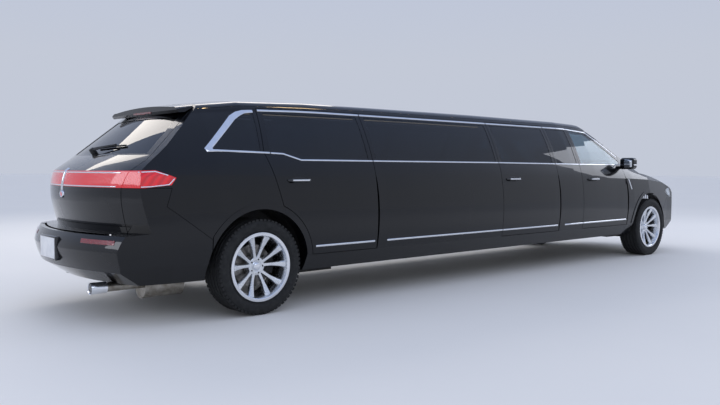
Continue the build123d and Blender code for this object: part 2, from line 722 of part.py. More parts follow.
def front_panels():
    """Hood, front fenders, front bumper, grille and headlamps."""
    hood = (outer & hood_region()) - shifted(outer, 0, 0, -20)
    hood = hood - turned_edge(hood_hinge_x, hood_hinge_z, 720.0, 83.5, 167.0)
    for side in (-1, 1):
        y0, y1 = sorted((side * 641, side * 654))
        arm = block(hood_hinge_x - 12, cowl_x + 10, y0, y1, hood_hinge_z - 11, hood_hinge_z + 11)
        rise = block(cowl_x - 25, cowl_x + 10, y0, y1, hood_hinge_z - 11, hood_hinge_z + 60)
        hood = hood + (arm + (rise & outer))
        hood = hood - tube((hood_hinge_x, side * 600, hood_hinge_z), (0, side, 0), 6.0 + fit_gap, 100)
    keep("hood", hood)

    nose_half = outer_half[-1] & block(fender_rear, x_nose + 100, -1200, 0, 200, 1300)
    sheet = nose_half - fender_inside(-1)
    fender = sheet - grown_prism(front_bumper_view, panel_gap) - grown_prism(headlamp_view, 1.0)
    fender = fender - hood_region(shut_gap)
    fender = fender - block(fender_rear - 1, cowl_x + 40, -1200, 0, pillar_foot - panel_gap, 1300)
    fender = fender - behind_cowl_line(8) - wheel_arch(x_front_axle, -1, arch_radius, 300)
    fender = fender - hinge_sweep("front_door", -1)
    fender = fender - block(x_front_axle + 600, x_nose + 100, -headlamp_inner_y, 0, 200, 1300)
    fender = fender + arch_lip(x_front_axle, -1, x_front_axle - 500, x_front_axle + 416)
    keep("front_fenders", Compound([fender, mirrored(fender)]))

    cover = sheet & (side_prism(front_bumper_view, -1200, 0)
                     + block(x_front_axle + 700, x_nose + 100, -headlamp_inner_y + 2, 0, 740, 1000))
    cover = cover - wheel_arch(x_front_axle, -1, arch_radius, 300) - hood_region(shut_gap)
    openings = front_prism(grille_view, x_front_axle + 500, x_nose + 100)
    lower = front_prism([(-1, 300), (-1, 420), (-480, 420), (-430, 300)], x_front_axle + 500, x_nose + 100)
    cover = cover - openings - lower
    keep("front_bumper", cover + mirrored(cover))

    core = (outer_half[-1] & openings) - shifted(outer, -26, 0, 0)
    inside = grown_front(grille_view, -12, x_front_axle + 500, x_nose + 100)
    slots = []
    for i in range(13):
        y = -60 - grille_pitch * i
        slots.append(block(x_front_axle + 500, x_nose + 100, y - 9, y + 9, 480, 900) & inside)
    grille = core.cut(*slots)
    keep("grille", Compound([grille, mirrored(grille)]))

    lamp = nose_half & side_prism(headlamp_view, -1200, -headlamp_inner_y)
    lamp = lamp - shifted(outer, -45, 34, 0) - hood_region(shut_gap)
    keep("headlamps", Compound([lamp, mirrored(lamp)]))


hood_hinge_x = cowl_x - 135
hood_hinge_z = 1075.0


def windscreen():
    """Curved windscreen between the front pillars."""
    region = front_prism(screen_view, roof_front + 1, x_front_axle + 300) & behind_cowl_line(-63)
    pane = (shifted(outer, z=-2) & region) - shifted(outer, z=-8.5)
    keep("windscreen", pane)


def bulkhead():
    """Firewall, door posts, cowl panel and the hood's hinge brackets."""
    tucked = fender_inside(-1) & fender_inside(1) & shifted(outer, z=-26)
    x_wall = x_front_axle - 550
    wall = block(x_wall, x_wall + 36, -900, 900, floor_top - floor_plate, 1118) & tucked
    post = block(fender_rear, x_wall + 2, -1000, -860, sill_height, pillar_foot - panel_gap) & tucked
    post = post - hinge_sweep("front_door", -1)
    post = post + hinge_arms("front_door", -1)
    tray = block(x_wall + 30, cowl_x - 20, -700, 700, 985, 1003)
    cowl = outer & behind_cowl_line(2) & front_prism(screen_view, x_front_axle - 400, x_front_axle + 100)
    cowl = (cowl - behind_cowl_line(-62)) - shifted(outer, z=-14)
    riser = block(cowl_x - 100, cowl_x - 60, -600, 600, 1000, 1200) & shifted(outer, z=-12)
    body = joined([wall, post, mirrored(post), tray, cowl, riser])
    for side in (-1, 1):
        for y in (622, 662):
            y0, y1 = sorted((side * y, side * (y + 12)))
            body = body + block(hood_hinge_x - 14, hood_hinge_x + 14, y0, y1, 1000, hood_hinge_z + 12)
        body = body + tube((hood_hinge_x, side * 622, hood_hinge_z), (0, side, 0), 6.0, 52)
        slot = block(cowl_x - 140, cowl_x + 30, side * 634.5, side * 660.5, 1006, 1200)
        slot = slot - tube((hood_hinge_x, side * 622, hood_hinge_z), (0, side, 0), 6.0, 52)
        body = body - slot
    keep("bulkhead", body)


def floor():
    """Floor pan between the sills, with wheel tubs at the rear."""
    x_wall = x_front_axle - 550
    pan = block(x_rear_axle - 800, x_wall, -780, 780, floor_top - floor_plate, floor_top)
    for side in (-1, 1):
        pan = pan - wheel_arch(x_rear_axle, side, arch_radius, tub_y + 14)
        tub = wheel_arch(x_rear_axle, side, arch_radius + 14, tub_y, 900)
        tub = tub - wheel_arch(x_rear_axle, side, arch_radius, tub_y + 14, 910)
        pan = pan + (tub & cabin)
    keep("floor_pan", pan)


tub_y = 641.0
rail_y = 425.0
rail_width = 70.0
rail_top = floor_top - floor_plate
rail_bottom = 262.0


def chassis():
    """Frame rails, subframes, strut towers and front apron."""
    rails = []
    for side in (-1, 1):
        y0, y1 = sorted((side * (rail_y - rail_width / 2), side * (rail_y + rail_width / 2)))
        rails.append(block(x_rear_axle - 850, x_nose - 230, y0, y1, rail_bottom, rail_top))
    for x in (x_rear_axle - 820, x_rear_axle + 1250, -600.0, 900.0, x_front_axle - 800, x_nose - 300):
        rails.append(block(x - 35, x + 35, -rail_y, rail_y, rail_bottom + 12, rail_top - 8))
    front_inside = shifted(outer, -24 - fit_gap, 16, -16) & shifted(outer, -24 - fit_gap, -16, -16)
    rails.append(front_inside & block(x_nose - 215, x_nose, -400, 400, 424, 496))
    rear_inside = shifted(outer, 30 + fit_gap, 20) & shifted(outer, 30 + fit_gap, -20)
    rails.append(rear_inside & block(x_tail, x_tail + 300, -460, 460, 470, 560))
    for side in (-1, 1):
        y0, y1 = sorted((side * (rail_y - 25), side * (rail_y + 25)))
        rails.append(block(x_nose - 300, x_nose - 200, y0, y1, rail_bottom, 496))
        rails.append(block(x_nose - 205, x_nose - 180, side * 340, side * (rail_y + 25), 424, 496))
        rails.append(block(x_tail + 290, x_rear_axle - 790, y0, y1, rail_bottom, rail_top))
        rails.append(block(x_tail + 225, x_tail + 300, y0, y1, rail_top, 560))
    keep("frame_rails", joined(rails))

    aprons = []
    for side in (-1, 1):
        y0, y1 = sorted((side * 412, side * 430))
        aprons.append(block(x_front_axle - 514, x_nose - 330, y0, y1, rail_top, 940))
        y2, y3 = sorted((side * 425, side * 780))
        aprons.append(block(x_front_axle - 90, x_front_axle + 90, y2, y3, 905, 930))
        aprons.append(tube((x_front_axle, side * kingpin_y, 488.3), (0, 0, 1), 24, 418))
        aprons.append(tube((x_front_axle, side * kingpin_y, 762), (0, 0, 1), 58, 144))
    keep("front_aprons", Compound([joined(aprons[:4]), joined(aprons[4:])]))

    parts = [block(x_front_axle - 150, x_front_axle + 150, -rail_y, rail_y, 205, rail_bottom)]
    for side in (-1, 1):
        parts.append(block(x_front_axle - 22, x_front_axle + 22, side * 300, side * kingpin_y, 212, 242))
        parts.append(tube((x_front_axle, side * kingpin_y, 212), (0, 0, 1), 25, 30))
    keep("front_subframe", joined(parts))

    parts = [block(x_rear_axle - 160, x_rear_axle + 160, -rail_y, rail_y, 215, rail_bottom)]
    for side in (-1, 1):
        parts.append(block(x_rear_axle - 50, x_rear_axle + 50, side * 300, side * 700, 222, 258))
        parts.append(block(x_rear_axle - 45, x_rear_axle + 45, side * 660, side * 700, 222, 430))
        parts.append(tube((x_rear_axle, side * 660, tyre_radius), (0, side, 0), 55, 100))
        parts.append(tube((x_rear_axle, side * 700, tyre_radius), (0, side, 0), spindle_radius, 150))
        parts.append(caliper(x_rear_axle, side))
    keep("rear_subframe", joined(parts))


kingpin_y = wheel_y - kingpin_inset


def caliper(x_axle, side):
    """Brake caliper astride the disc, ahead of the hub."""
    body = tube((x_axle, side * 700, tyre_radius), (0, side, 0), 184, 135)
    body = body - tube((x_axle, side * 690, tyre_radius), (0, side, 0), 112, 200)
    z0, z1 = tyre_radius - 70, tyre_radius + 70
    body = body & block(x_axle + 60, x_axle + 200, side * 750, side * 835, z0, z1)
    slot_start = (x_axle, side * (wheel_y - 45), tyre_radius)
    body = body - tube(slot_start, (0, side, 0), brake_disc_radius + clear_gap, 36)
    bracket = block(x_axle + 20, x_axle + 150, side * 725, side * 754, tyre_radius - 40, tyre_radius + 40)
    return body + bracket


def knuckles():
    """Front uprights with spindles, steering arms and calipers."""
    x = x_front_axle
    for side, hand in ((-1, "right"), (1, "left")):
        y = side * kingpin_y
        parts = [
            tube((x, y, 242.3), (0, 0, 1), 26, 245.7),
            tube((x, y - side * 10, tyre_radius), (0, side, 0), 52, 92),
            tube((x, y, tyre_radius), (0, side, 0), spindle_radius, kingpin_inset + 18),
            block(x - 150, x, y - side * 14, y + side * 14, 315, 340),
            caliper(x_front_axle, side),
        ]
        keep(f"knuckle_{hand}", joined(parts))


def ring(profile):
    """Solid of revolution about Y from (radius, y) points."""
    wire = outline([(r, y, 0) for r, y in profile], (0, 0, 1))
    return Solid.revolve(Face(wire), 360, Axis((0, 0, 0), (0, 1, 0)))


def wheels():
    """Tyres, ten-spoke rims and brake discs, drawn for a right wheel at the origin."""
    half = tyre_width / 2
    bead = rim_width / 2 - 10
    foot = rim_flange_radius + 1
    wall_r = tyre_bead_radius + 62
    crown_r = tyre_radius - 10
    crown_y = half - 22
    edges = [
        Edge.make_line((foot, -bead, 0), (tyre_bead_radius, -bead, 0)),
        Edge.make_line((tyre_bead_radius, -bead, 0), (tyre_bead_radius, bead, 0)),
        Edge.make_line((tyre_bead_radius, bead, 0), (foot, bead, 0)),
        Edge.make_three_point_arc((foot, bead, 0), (wall_r, half, 0), (crown_r, crown_y, 0)),
        Edge.make_three_point_arc((crown_r, crown_y, 0), (tyre_radius, 0, 0), (crown_r, -crown_y, 0)),
        Edge.make_three_point_arc((crown_r, -crown_y, 0), (wall_r, -half, 0), (foot, -bead, 0)),
    ]
    tyre = Solid.revolve(Face(Wire(edges)), 360, Axis((0, 0, 0), (0, 1, 0)))
    w = rim_width / 2
    flange = rim_flange_radius
    barrel = ring([(tyre_bead_radius, -w + 10), (flange, -w + 10), (flange, -w), (238, -w), (232, -w + 40),
                   (222, 0), (232, w - 20), (240, w), (flange, w), (flange, w - 10), (tyre_bead_radius, w - 10)])
    dish = ring([(spindle_radius + fit_gap, -52), (hub_radius, -48), (150, -62), (240, -92), (240, -64),
                 (150, -34), (hub_radius + 12, -14), (hub_radius, -4), (spindle_radius + fit_gap, -4)])
    window = outline([(78, -200, -5), (222, -200, -38), (222, -200, 38), (78, -200, 5)], (0, 1, 0),
                     [0, 0.06, 0, 0])
    opening = Solid.extrude(Face(window), Vector(0, 400, 0))
    long_edges = [e for e in opening.edges() if abs(e.tangent_at(0.5).Y) > 0.9]
    opening = opening.fillet(4.0, long_edges)
    rim = barrel + dish
    for i in range(spoke_count):
        rim = rim - opening.rotate(Axis((0, 0, 0), (0, 1, 0)), 360.0 / spoke_count * i)
    cap = ring([(0, -56), (28, -54), (32, -44), (32, -30), (0, -30)])
    rim = rim + cap
    disc = ring([(88, 14), (brake_disc_radius, 14), (brake_disc_radius, 14 + brake_disc_thickness),
                 (70, 14 + brake_disc_thickness), (spindle_radius + fit_gap, 14 + brake_disc_thickness - 26),
                 (spindle_radius + fit_gap, -4), (88, -4)])
    for axle, x in (("front", x_front_axle), ("rear", x_rear_axle)):
        place = Location((x, -wheel_y, tyre_radius))
        for name, shape in (("tyre", tyre), ("rim", rim), ("brake_disc", disc)):
            right = shape.moved(place)
            keep(f"{name}_{axle}_right", right)
            keep(f"{name}_{axle}_left", mirrored(right))


def mechanical():
    """Engine block, radiator, exhaust and fuel tank."""
    keep("engine", block(x_front_axle - 380, x_front_axle + 250, -330, 330, rail_bottom, 880))
    keep("radiator", block(x_nose - 330, x_nose - 275, -380, 380, rail_top - 8, 800))
    keep("fuel_tank", block(x_rear_axle + 480, x_rear_axle + 1150, -370, 370, 190, rail_top))
    pipe_y = -560.0
    pipe_z = 292.0
    parts = [tube((x_rear_axle + 800, pipe_y, pipe_z), (1, 0, 0), 28, 4200),
             tube((x_rear_axle - 1150, pipe_y, pipe_z - 14), (1, 0, 0), 34, 370),
             tube((x_rear_axle - 800, pipe_y, rail_top - fit_gap - 88), (1, 0, 0), 88, 310),
             tube((x_rear_axle - 520, pipe_y, pipe_z), (1, 0, 0), 28, 1330)]
    keep("exhaust", joined(parts))


def cushion(x0, x1, y0, y1, z0, z1, radius=35.0):
    """Plain padded block with rounded edges."""
    solid = block(x0, x1, y0, y1, z0, z1)
    return solid.fillet(radius, solid.edges())


def interior():
    """Seats, lounge, bar, partition, dashboard and steering wheel."""
    seats = []
    x_seat = x_front_door_rear + 150
    for y in (-400.0, 400.0):
        base = block(x_seat + 60, x_seat + 460, y - 200, y + 200, floor_top, 560)
        pad = cushion(x_seat, x_seat + 520, y - 250, y + 250, 556, 690)
        back = cushion(x_seat - 60, x_seat + 80, y - 250, y + 250, 600, 1250, 45)
        back = back.rotate(Axis((x_seat, y, 640), (0, 1, 0)), -14)
        head = cushion(x_seat - 55, x_seat + 45, y - 130, y + 130, 1230, 1420, 30)
        head = head.rotate(Axis((x_seat, y, 640), (0, 1, 0)), -14)
        seats.append(joined([base, pad, back, head]))
    keep("front_seats", Compound(seats))

    x_bench = x_rear_axle + 130
    bench = cushion(x_bench, x_bench + 560, -640, 640, floor_top, 770)
    back = cushion(x_bench - 150, x_bench + 20, -640, 640, floor_top + 100, 1230, 50)
    keep("rear_bench", bench + back)

    side_seat = cushion(x_rear_door_front + 120, x_front_door_rear - 260, 270, 768, floor_top, 750)
    side_back = cushion(x_rear_door_front + 120, x_front_door_rear - 260, 650, 768, 700, 1150, 40)
    keep("side_lounge", side_seat + side_back)

    cabinet = block(x_rear_door_front + 140, x_fifth_door_rear - 90, -768, -450, floor_top, 960)
    keep("bar_cabinet", cabinet.fillet(20, cabinet.edges().filter_by(Axis.Z)))

    x_wall = x_front_door_rear - 130
    wall = block(x_wall, x_wall + 30, -880, 880, floor_top, 1690) & cabin
    window = block(x_wall - 10, x_wall + 40, -480, 480, 1080, 1480)
    keep("partition", wall - window)

    x_dash = x_front_axle - 550
    dash = block(x_dash - 300, x_dash - 1, -900, 900, 740, 1070) & cabin

    hub = Vector(x_dash - 470, 400, 990)
    axis_dir = Vector(cos(radians(25)), 0, -sin(radians(25)))
    plane = Plane(hub, x_dir=(0, 1, 0), z_dir=axis_dir)
    rim = Solid.make_torus(182, 15, plane)
    boss = Solid.make_cylinder(48, 40, plane.offset(-20))
    wheel = rim + boss
    for angle in (0, 180, 270):
        spoke = block(30, 178, -15, 15, -8, 8).rotate(Axis.Z, angle)
        wheel = wheel + plane.location * spoke
    keep("steering_wheel", wheel)
    column = Solid.make_cylinder(24, 260, plane.offset(20 + fit_gap))
    keep("dashboard", dash + column)


def write_parts():
    """Write every node to its own file."""
    os.makedirs("parts", exist_ok=True)
    for name, shape in nodes.items():
        export_step(shape, f"parts/{name}.step")


if __name__ == "__main__":
    for make in (wheels, knuckles, chassis, mechanical, interior, floor, bulkhead, windscreen, roof, liftgate,
                 quarter_lamps, rear_bumper, front_panels, fixed_side_glass, side_door_panels, body_sides):
        make()
    write_parts()
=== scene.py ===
"""Stretch limousine: finishes, trims, lamps, wheels and cabin round the CAD frame.

Metres. X forward, Y to the left, Z up, origin on the ground midway between tail and nose.
"""

import json
from functools import cache
from math import cos, dist, exp, pi, radians, sin

import bmesh
import bpy
from mathutils import Matrix, Vector
from mathutils.bvhtree import BVHTree

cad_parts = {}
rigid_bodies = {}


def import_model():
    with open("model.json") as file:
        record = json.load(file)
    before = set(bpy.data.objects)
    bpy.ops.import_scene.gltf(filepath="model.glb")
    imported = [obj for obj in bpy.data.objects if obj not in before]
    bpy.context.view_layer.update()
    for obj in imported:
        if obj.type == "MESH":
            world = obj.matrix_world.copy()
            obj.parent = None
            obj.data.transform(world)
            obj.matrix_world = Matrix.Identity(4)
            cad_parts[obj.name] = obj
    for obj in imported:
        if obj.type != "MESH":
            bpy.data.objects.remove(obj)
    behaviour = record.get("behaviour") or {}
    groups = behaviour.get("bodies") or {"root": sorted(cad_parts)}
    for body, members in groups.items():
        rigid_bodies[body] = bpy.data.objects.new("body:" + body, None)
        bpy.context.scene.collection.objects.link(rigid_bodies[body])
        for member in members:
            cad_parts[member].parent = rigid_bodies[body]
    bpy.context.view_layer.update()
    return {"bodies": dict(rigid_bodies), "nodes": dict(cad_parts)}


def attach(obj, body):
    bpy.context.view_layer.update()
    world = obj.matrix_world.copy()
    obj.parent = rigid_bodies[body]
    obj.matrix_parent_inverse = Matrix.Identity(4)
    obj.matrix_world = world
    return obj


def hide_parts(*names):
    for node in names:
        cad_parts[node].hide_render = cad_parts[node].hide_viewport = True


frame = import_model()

bl_info = {
    "name": "Stretch Limousine Dressing",
    "version": (1, 0, 0),
    "blender": (4, 5, 0),
    "location": "3D View > Sidebar > Limousine",
    "description": "Finishes, trims, lamps, wheels and cabin of a stretch limousine",
    "category": "Object",
}

# Places along the car, from the part's own sizes
REAR_AXLE = -2.8925
FRONT_AXLE = 3.1505
WHEEL_Y = 0.8315
WHEEL_Z = 0.369
REAR_DOOR = (REAR_AXLE + 0.140, -1.697)
FIFTH_DOOR = (0.057, 1.067)
FRONT_DOOR = (1.552, 2.557)
SHUT = 0.003  # trim stops this far inside a door's edge
BODY_SHUT = 0.008  # and this far from the door's edge on the fixed body, past the shut line
HINGE_SHUT = 0.028  # proud strips stop this far from a door's hinged front edge, so that it opens freely
FRAME_LINE = ((REAR_AXLE - 0.100, 1.590), (REAR_AXLE + 0.600, 1.608), (1.5005, 1.606), (1.9905, 1.578),
              (2.557, 1.270))
BELT_LINE = ((REAR_AXLE - 0.352, 1.256), (REAR_AXLE + 0.130, 1.243), (REAR_AXLE + 0.260, 1.238),
             (REAR_AXLE + 0.420, 1.190), (0.057, 1.186), (1.552, 1.177), (2.545, 1.173))
BELT_END = 2.540
NOSE_GAP = 0.030  # window strips stop this far from the front door's front edge
# Surround of the quarter window, outer and inner edge, from the rear axle
QUARTER_WINDOW = (((0.134, 1.586), (0.060, 1.582), (0.002, 1.578), (-0.058, 1.562), (-0.122, 1.528),
                   (-0.420, 1.268), (-0.405, 1.243), (-0.320, 1.246), (0.134, 1.236)),
                  ((0.134, 1.566), (0.060, 1.558), (0.016, 1.552), (-0.030, 1.532), (-0.088, 1.498),
                   (-0.355, 1.272), (-0.352, 1.262), (-0.320, 1.262), (0.134, 1.250)))
SIDES = {"right": -1, "left": 1}
SMOOTH_ANGLE = radians(35)
WELD = 1e-6  # points closer than this are joined
SINK = 0.0025  # the edges of a band on the skin go this far into it
COLOUR_A, COLOUR_B, COLOUR_RESULT = 6, 7, 2  # colour sockets of the mix node


def both(*stems):
    """Names of the right and the left one of each stem."""
    return [f"{stem}_{side}" for stem in stems for side in SIDES]


# Colours and shader nodes

def linear(hex_colour):
    """Linear RGBA of an sRGB hex colour."""
    parts = [int(hex_colour[i:i + 2], 16) / 255 for i in (1, 3, 5)]
    return tuple(c / 12.92 if c <= 0.04045 else ((c + 0.055) / 1.055) ** 2.4 for c in parts) + (1.0,)


def add(tree, kind, inputs=None, **values):
    """Add a node with the values of its fields, and give or link its inputs."""
    made = tree.nodes.new(kind)
    for key, value in values.items():
        setattr(made, key, value)
    for key, value in (inputs or {}).items():
        if isinstance(value, bpy.types.NodeSocket):
            tree.links.new(value, made.inputs[key])
        else:
            made.inputs[key].default_value = value
    return made


def blank(name):
    """Empty material and its node tree."""
    material = bpy.data.materials.new(name)
    material.use_nodes = True
    material.node_tree.nodes.clear()
    return material, material.node_tree


def grain(tree, size_mm, detail=3.0, kind="noise", stretch=(1, 1, 1)):
    """Pattern whose cells have a real size in millimetres, from Object coordinates."""
    coords = add(tree, "ShaderNodeTexCoord").outputs["Object"]
    mapped = add(tree, "ShaderNodeMapping", {"Vector": coords, "Scale": stretch}).outputs["Vector"]
    scale = 1000.0 / size_mm
    if kind == "cells":
        return add(tree, "ShaderNodeTexVoronoi", {"Vector": mapped, "Scale": scale}).outputs["Distance"]
    if kind in ("X", "Y", "Z"):
        wave = add(tree, "ShaderNodeTexWave", {"Vector": mapped, "Scale": scale / 3.2, "Distortion": 0.0},
                   wave_type="BANDS", bands_direction=kind)
        return wave.outputs["Fac"]
    return add(tree, "ShaderNodeTexNoise", {"Vector": mapped, "Scale": scale, "Detail": detail}).outputs["Fac"]


def tones(tree, factor, low, high):
    """Mix of two sRGB hex colours by a factor."""
    mix = add(tree, "ShaderNodeMix", {"Factor": factor, COLOUR_A: linear(low), COLOUR_B: linear(high)},
              data_type="RGBA")
    return mix.outputs[COLOUR_RESULT]


def finish(name, colour, second=None, tone_mm=120.0, rough=(0.4, 0.5), rough_mm=60.0, relief=(),
           tone_stretch=(1, 1, 1), **sockets):
    """Material of two mixed tones, with worn roughness and fine relief.

    relief holds rows of (kind, size in mm, height in mm, stretch); an even stretch is left out.
    """
    material, tree = blank(name)
    shader = add(tree, "ShaderNodeBsdfPrincipled", {"Base Color": linear(colour), "Roughness": rough[0]})
    for key, value in sockets.items():
        label = key.replace("_", " ").title().replace("Ior", "IOR")
        shader.inputs[label].default_value = linear(value) if isinstance(value, str) else value
    if second:
        ramp = add(tree, "ShaderNodeMapRange", {"Value": grain(tree, tone_mm, stretch=tone_stretch),
                                                "From Min": 0.35, "From Max": 0.65})
        tree.links.new(tones(tree, ramp.outputs["Result"], colour, second), shader.inputs["Base Color"])
    if rough[1] != rough[0]:
        worn = add(tree, "ShaderNodeMapRange", {"Value": grain(tree, rough_mm, 5.0), "From Min": 0.3,
                                                "From Max": 0.7, "To Min": rough[0], "To Max": rough[1]})
        tree.links.new(worn.outputs["Result"], shader.inputs["Roughness"])
    normal = None
    for kind, size_mm, height_mm, *stretch in relief:
        inputs = {"Height": grain(tree, size_mm, 2.0, kind, *stretch), "Distance": height_mm / 1000.0,
                  "Strength": 1.0}
        if normal:
            inputs["Normal"] = normal
        normal = add(tree, "ShaderNodeBump", inputs).outputs["Normal"]
    if normal:
        tree.links.new(normal, shader.inputs["Normal"])
    add(tree, "ShaderNodeOutputMaterial", {"Surface": shader.outputs["BSDF"]})
    return material


def lens_finish(name, colour, deep, rib_mm, painted_glow):
    """Moulded acrylic lens: clear colour over moulded ribs, painted lighter on the rib tops as a painted highlight,
    with a faint even painted glow.
    """
    material, tree = blank(name)
    ribs = grain(tree, rib_mm, kind="Y")
    bump = add(tree, "ShaderNodeBump", {"Height": ribs, "Distance": 0.0012, "Strength": 0.6})
    shader = add(tree, "ShaderNodeBsdfPrincipled", {
        # Base colour is deep red between the ribs and lighter on their tops, a painted highlight; the even emission is
        # a painted glow.
        "Base Color": tones(tree, ribs, deep, colour), "Roughness": 0.16, "IOR": 1.49, "Coat Weight": 1.0,
        "Coat Roughness": 0.02, "Emission Color": linear(colour), "Emission Strength": painted_glow,
        "Normal": bump.outputs["Normal"]})
    add(tree, "ShaderNodeOutputMaterial", {"Surface": shader.outputs["BSDF"]})
    return material


MADE = {}


def make_finishes(paint):
    """All the finishes, each named for the real material and how it was worked."""
    MADE.update({
        # Two-stage automotive paint: a near black base, and a clear coat that mirrors sky and road,
        # with the slight ripple of sprayed lacquer and a film of road dust in its roughness.
        "paint": finish("black_clearcoat_paint", paint, "#040509", 900, (0.28, 0.36), 500,
                        [("noise", 45, 0.010)], coat_weight=1.0,
                        coat_roughness=0.012, coat_ior=1.42, specular_ior_level=0.08),
        # Privacy glass: float glass with a dark film, so windows read black with a sharp reflection.
        "privacy_glass": finish("privacy_float_glass", "#33383f", rough=(0.0, 0.0), ior=1.52,
                                transmission_weight=1.0, relief=[("noise", 260, 0.04)]),
        # Green-blue solar glass of the driver's doors and windscreen, which lets the cabin show.
        "clear_glass": finish("solar_float_glass", "#9fb4bd", rough=(0.0, 0.0), ior=1.52,
                              transmission_weight=1.0, relief=[("noise", 260, 0.03)]),
        # Red acrylic: deep red between its moulded ribs, with painted highlights on the rib tops and a faint even
        # painted glow over the whole lens.
        "red_lens": lens_finish("moulded_red_acrylic_painted_glow", "#d3121d", "#a30c17", 13.0, 0.30),
        # Dark red retroreflector with a fine prism pattern.
        "reflector": finish("prismatic_red_reflector", "#8a1018", "#5e090f", 6, (0.15, 0.3), 10,
                            [("cells", 3.0, 0.25)], coat_weight=1.0),
        # Clear polycarbonate headlamp cover.
        "clear_lens": finish("clear_polycarbonate", "#eef3f7", rough=(0.02, 0.02), ior=1.58,
                             transmission_weight=1.0, coat_weight=0.5, relief=[("noise", 180, 0.03)]),
        # Chromium plate on ABS or brass: near mirror, a little bluish, with faint water marks.
        "chrome": finish("chromium_plate", "#f0f1f4", "#e8eaee", 70, (0.05, 0.12), 40,
                         [("noise", 25, 0.004)], metallic=1.0),
        # Machined and polished cast aluminium under lacquer, with fine turning marks.
        "alloy": finish("polished_cast_aluminium", "#e9ebed", "#dde0e4", 35, (0.20, 0.30), 18,
                        [("noise", 1.6, 0.006, (1, 0.2, 1))], metallic=1.0, coat_weight=0.6,
                        coat_roughness=0.05),
        # Cured tyre rubber: blue-black, dull, greyed by dust, with a fine moulded grain.
        "rubber": finish("cured_tyre_rubber", "#17181a", "#232425", 40, (0.62, 0.8), 22,
                         [("noise", 2.2, 0.08)], specular_ior_level=0.35),
        # Grey cast iron disc, turned bright where the pads rub.
        "iron": finish("turned_cast_iron", "#8d8a86", "#75716c", 14, (0.3, 0.45), 9,
                       [("noise", 1.2, 0.02, (1, 6, 1))], metallic=1.0),
        # Chassis black: dipped paint with a slight orange peel and road film.
        "chassis": finish("dipped_chassis_paint", "#15161a", "#22211f", 90, (0.5, 0.7), 50,
                          [("noise", 5, 0.08)]),
        # Grained polypropylene of wiper arms, liners and lower trims.
        "plastic": finish("grained_polypropylene", "#141518", "#1c1d20", 60, (0.45, 0.6), 35,
                          [("cells", 1.6, 0.05)], ior=1.5),
        # Piano black moulding: as glossy as the paint, for handles and pillar covers.
        "gloss_plastic": finish("gloss_black_abs", "#08090b", "#0b0c0f", 200, (0.08, 0.14), 90,
                                [("noise", 60, 0.006)], coat_weight=0.6, ior=1.53),
        # Corrected-grain black leather: soft satin with pebbles and creases, browned where it wears.
        "leather": finish("pebbled_black_leather", "#1b1a1b", "#26231f", 90, (0.42, 0.58), 30,
                          [("cells", 2.4, 0.25), ("noise", 28, 0.5)],
                          sheen_weight=0.08),
        # Cut-pile carpet: matt, with the tone of brushed tufts.
        "carpet": finish("cut_pile_carpet", "#1f2024", "#2c2c31", 35, (0.9, 1.0), 20,
                         [("noise", 3.5, 1.2)], sheen_weight=0.4, sheen_roughness=0.6),
        # Brushed headliner fabric, pale grey.
        "headliner": finish("brushed_headliner", "#8c8a86", "#807e7a", 120, (0.85, 0.95), 30,
                            [("noise", 2.0, 0.15)], sheen_weight=0.3),
        # Lacquered walnut veneer: long grain under a clear gloss coat.
        "wood": finish("lacquered_walnut", "#43271a", "#2b170e", 14, (0.2, 0.3), 15,
                       [("noise", 6, 0.01, (0.1, 1, 1))], tone_stretch=(0.07, 1, 1), coat_weight=0.9,
                       coat_roughness=0.04),
        # Stainless exhaust tube, straw-coloured by heat.
        "stainless": finish("drawn_stainless_steel", "#a8a39a", "#7d766b", 60, (0.25, 0.42), 25,
                            [("noise", 4, 0.02, (0.1, 1, 1))], metallic=1.0),
        # Painted blank plate with an orange-peel reflective sheet.
        "plate": finish("reflective_white_sheet", "#e4e6ea", "#d7dae0", 60, (0.3, 0.4), 30,
                        [("cells", 2.0, 0.03)], coat_weight=0.3),
        # Mirror silvering behind glass.
        "mirror": finish("silvered_mirror_glass", "#e9ecef", "#e2e6ea", 80, (0.01, 0.03), 50, metallic=1.0),
        # Dark instrument glass and lit controls.
        "screen": finish("coated_display_glass", "#0b1016", "#0f1620", 50, (0.06, 0.1), 40, ior=1.5,
                         coat_weight=0.8),
        # Etched stone counter top, black with pale flecks.
        "stone": finish("polished_black_granite", "#131417", "#2b2d31", 3, (0.08, 0.16), 20,
                        [("noise", 40, 0.005)], coat_weight=0.5),
        # Warm strip light behind an opal diffuser.
        "light_strip": finish("opal_light_strip", "#f2e9d8", "#efe2c8", 20, (0.5, 0.6), 20,
                              emission_color="#ffd9a0", emission_strength=4.0),
        # Slush-moulded dashboard skin, soft and grained.
        "soft_dash": finish("slush_moulded_dash_skin", "#1a1b1d", "#202123", 80, (0.55, 0.7), 25,
                            [("cells", 1.8, 0.12)]),
        # Black acoustic cloth, open weave.
        "grille_cloth": finish("woven_acoustic_cloth", "#0d0d0f", "#1a1a1d", 3, (0.85, 0.95), 10,
                               [("X", 1.6, 0.3), ("Z", 1.6, 0.3)], sheen_weight=0.2),
        # Drinking glasses.
        "tumbler": finish("pressed_tumbler_glass", "#f4f7f8", rough=(0.0, 0.0), ior=1.5,
                          transmission_weight=1.0, relief=[("noise", 30, 0.05)]),
    })


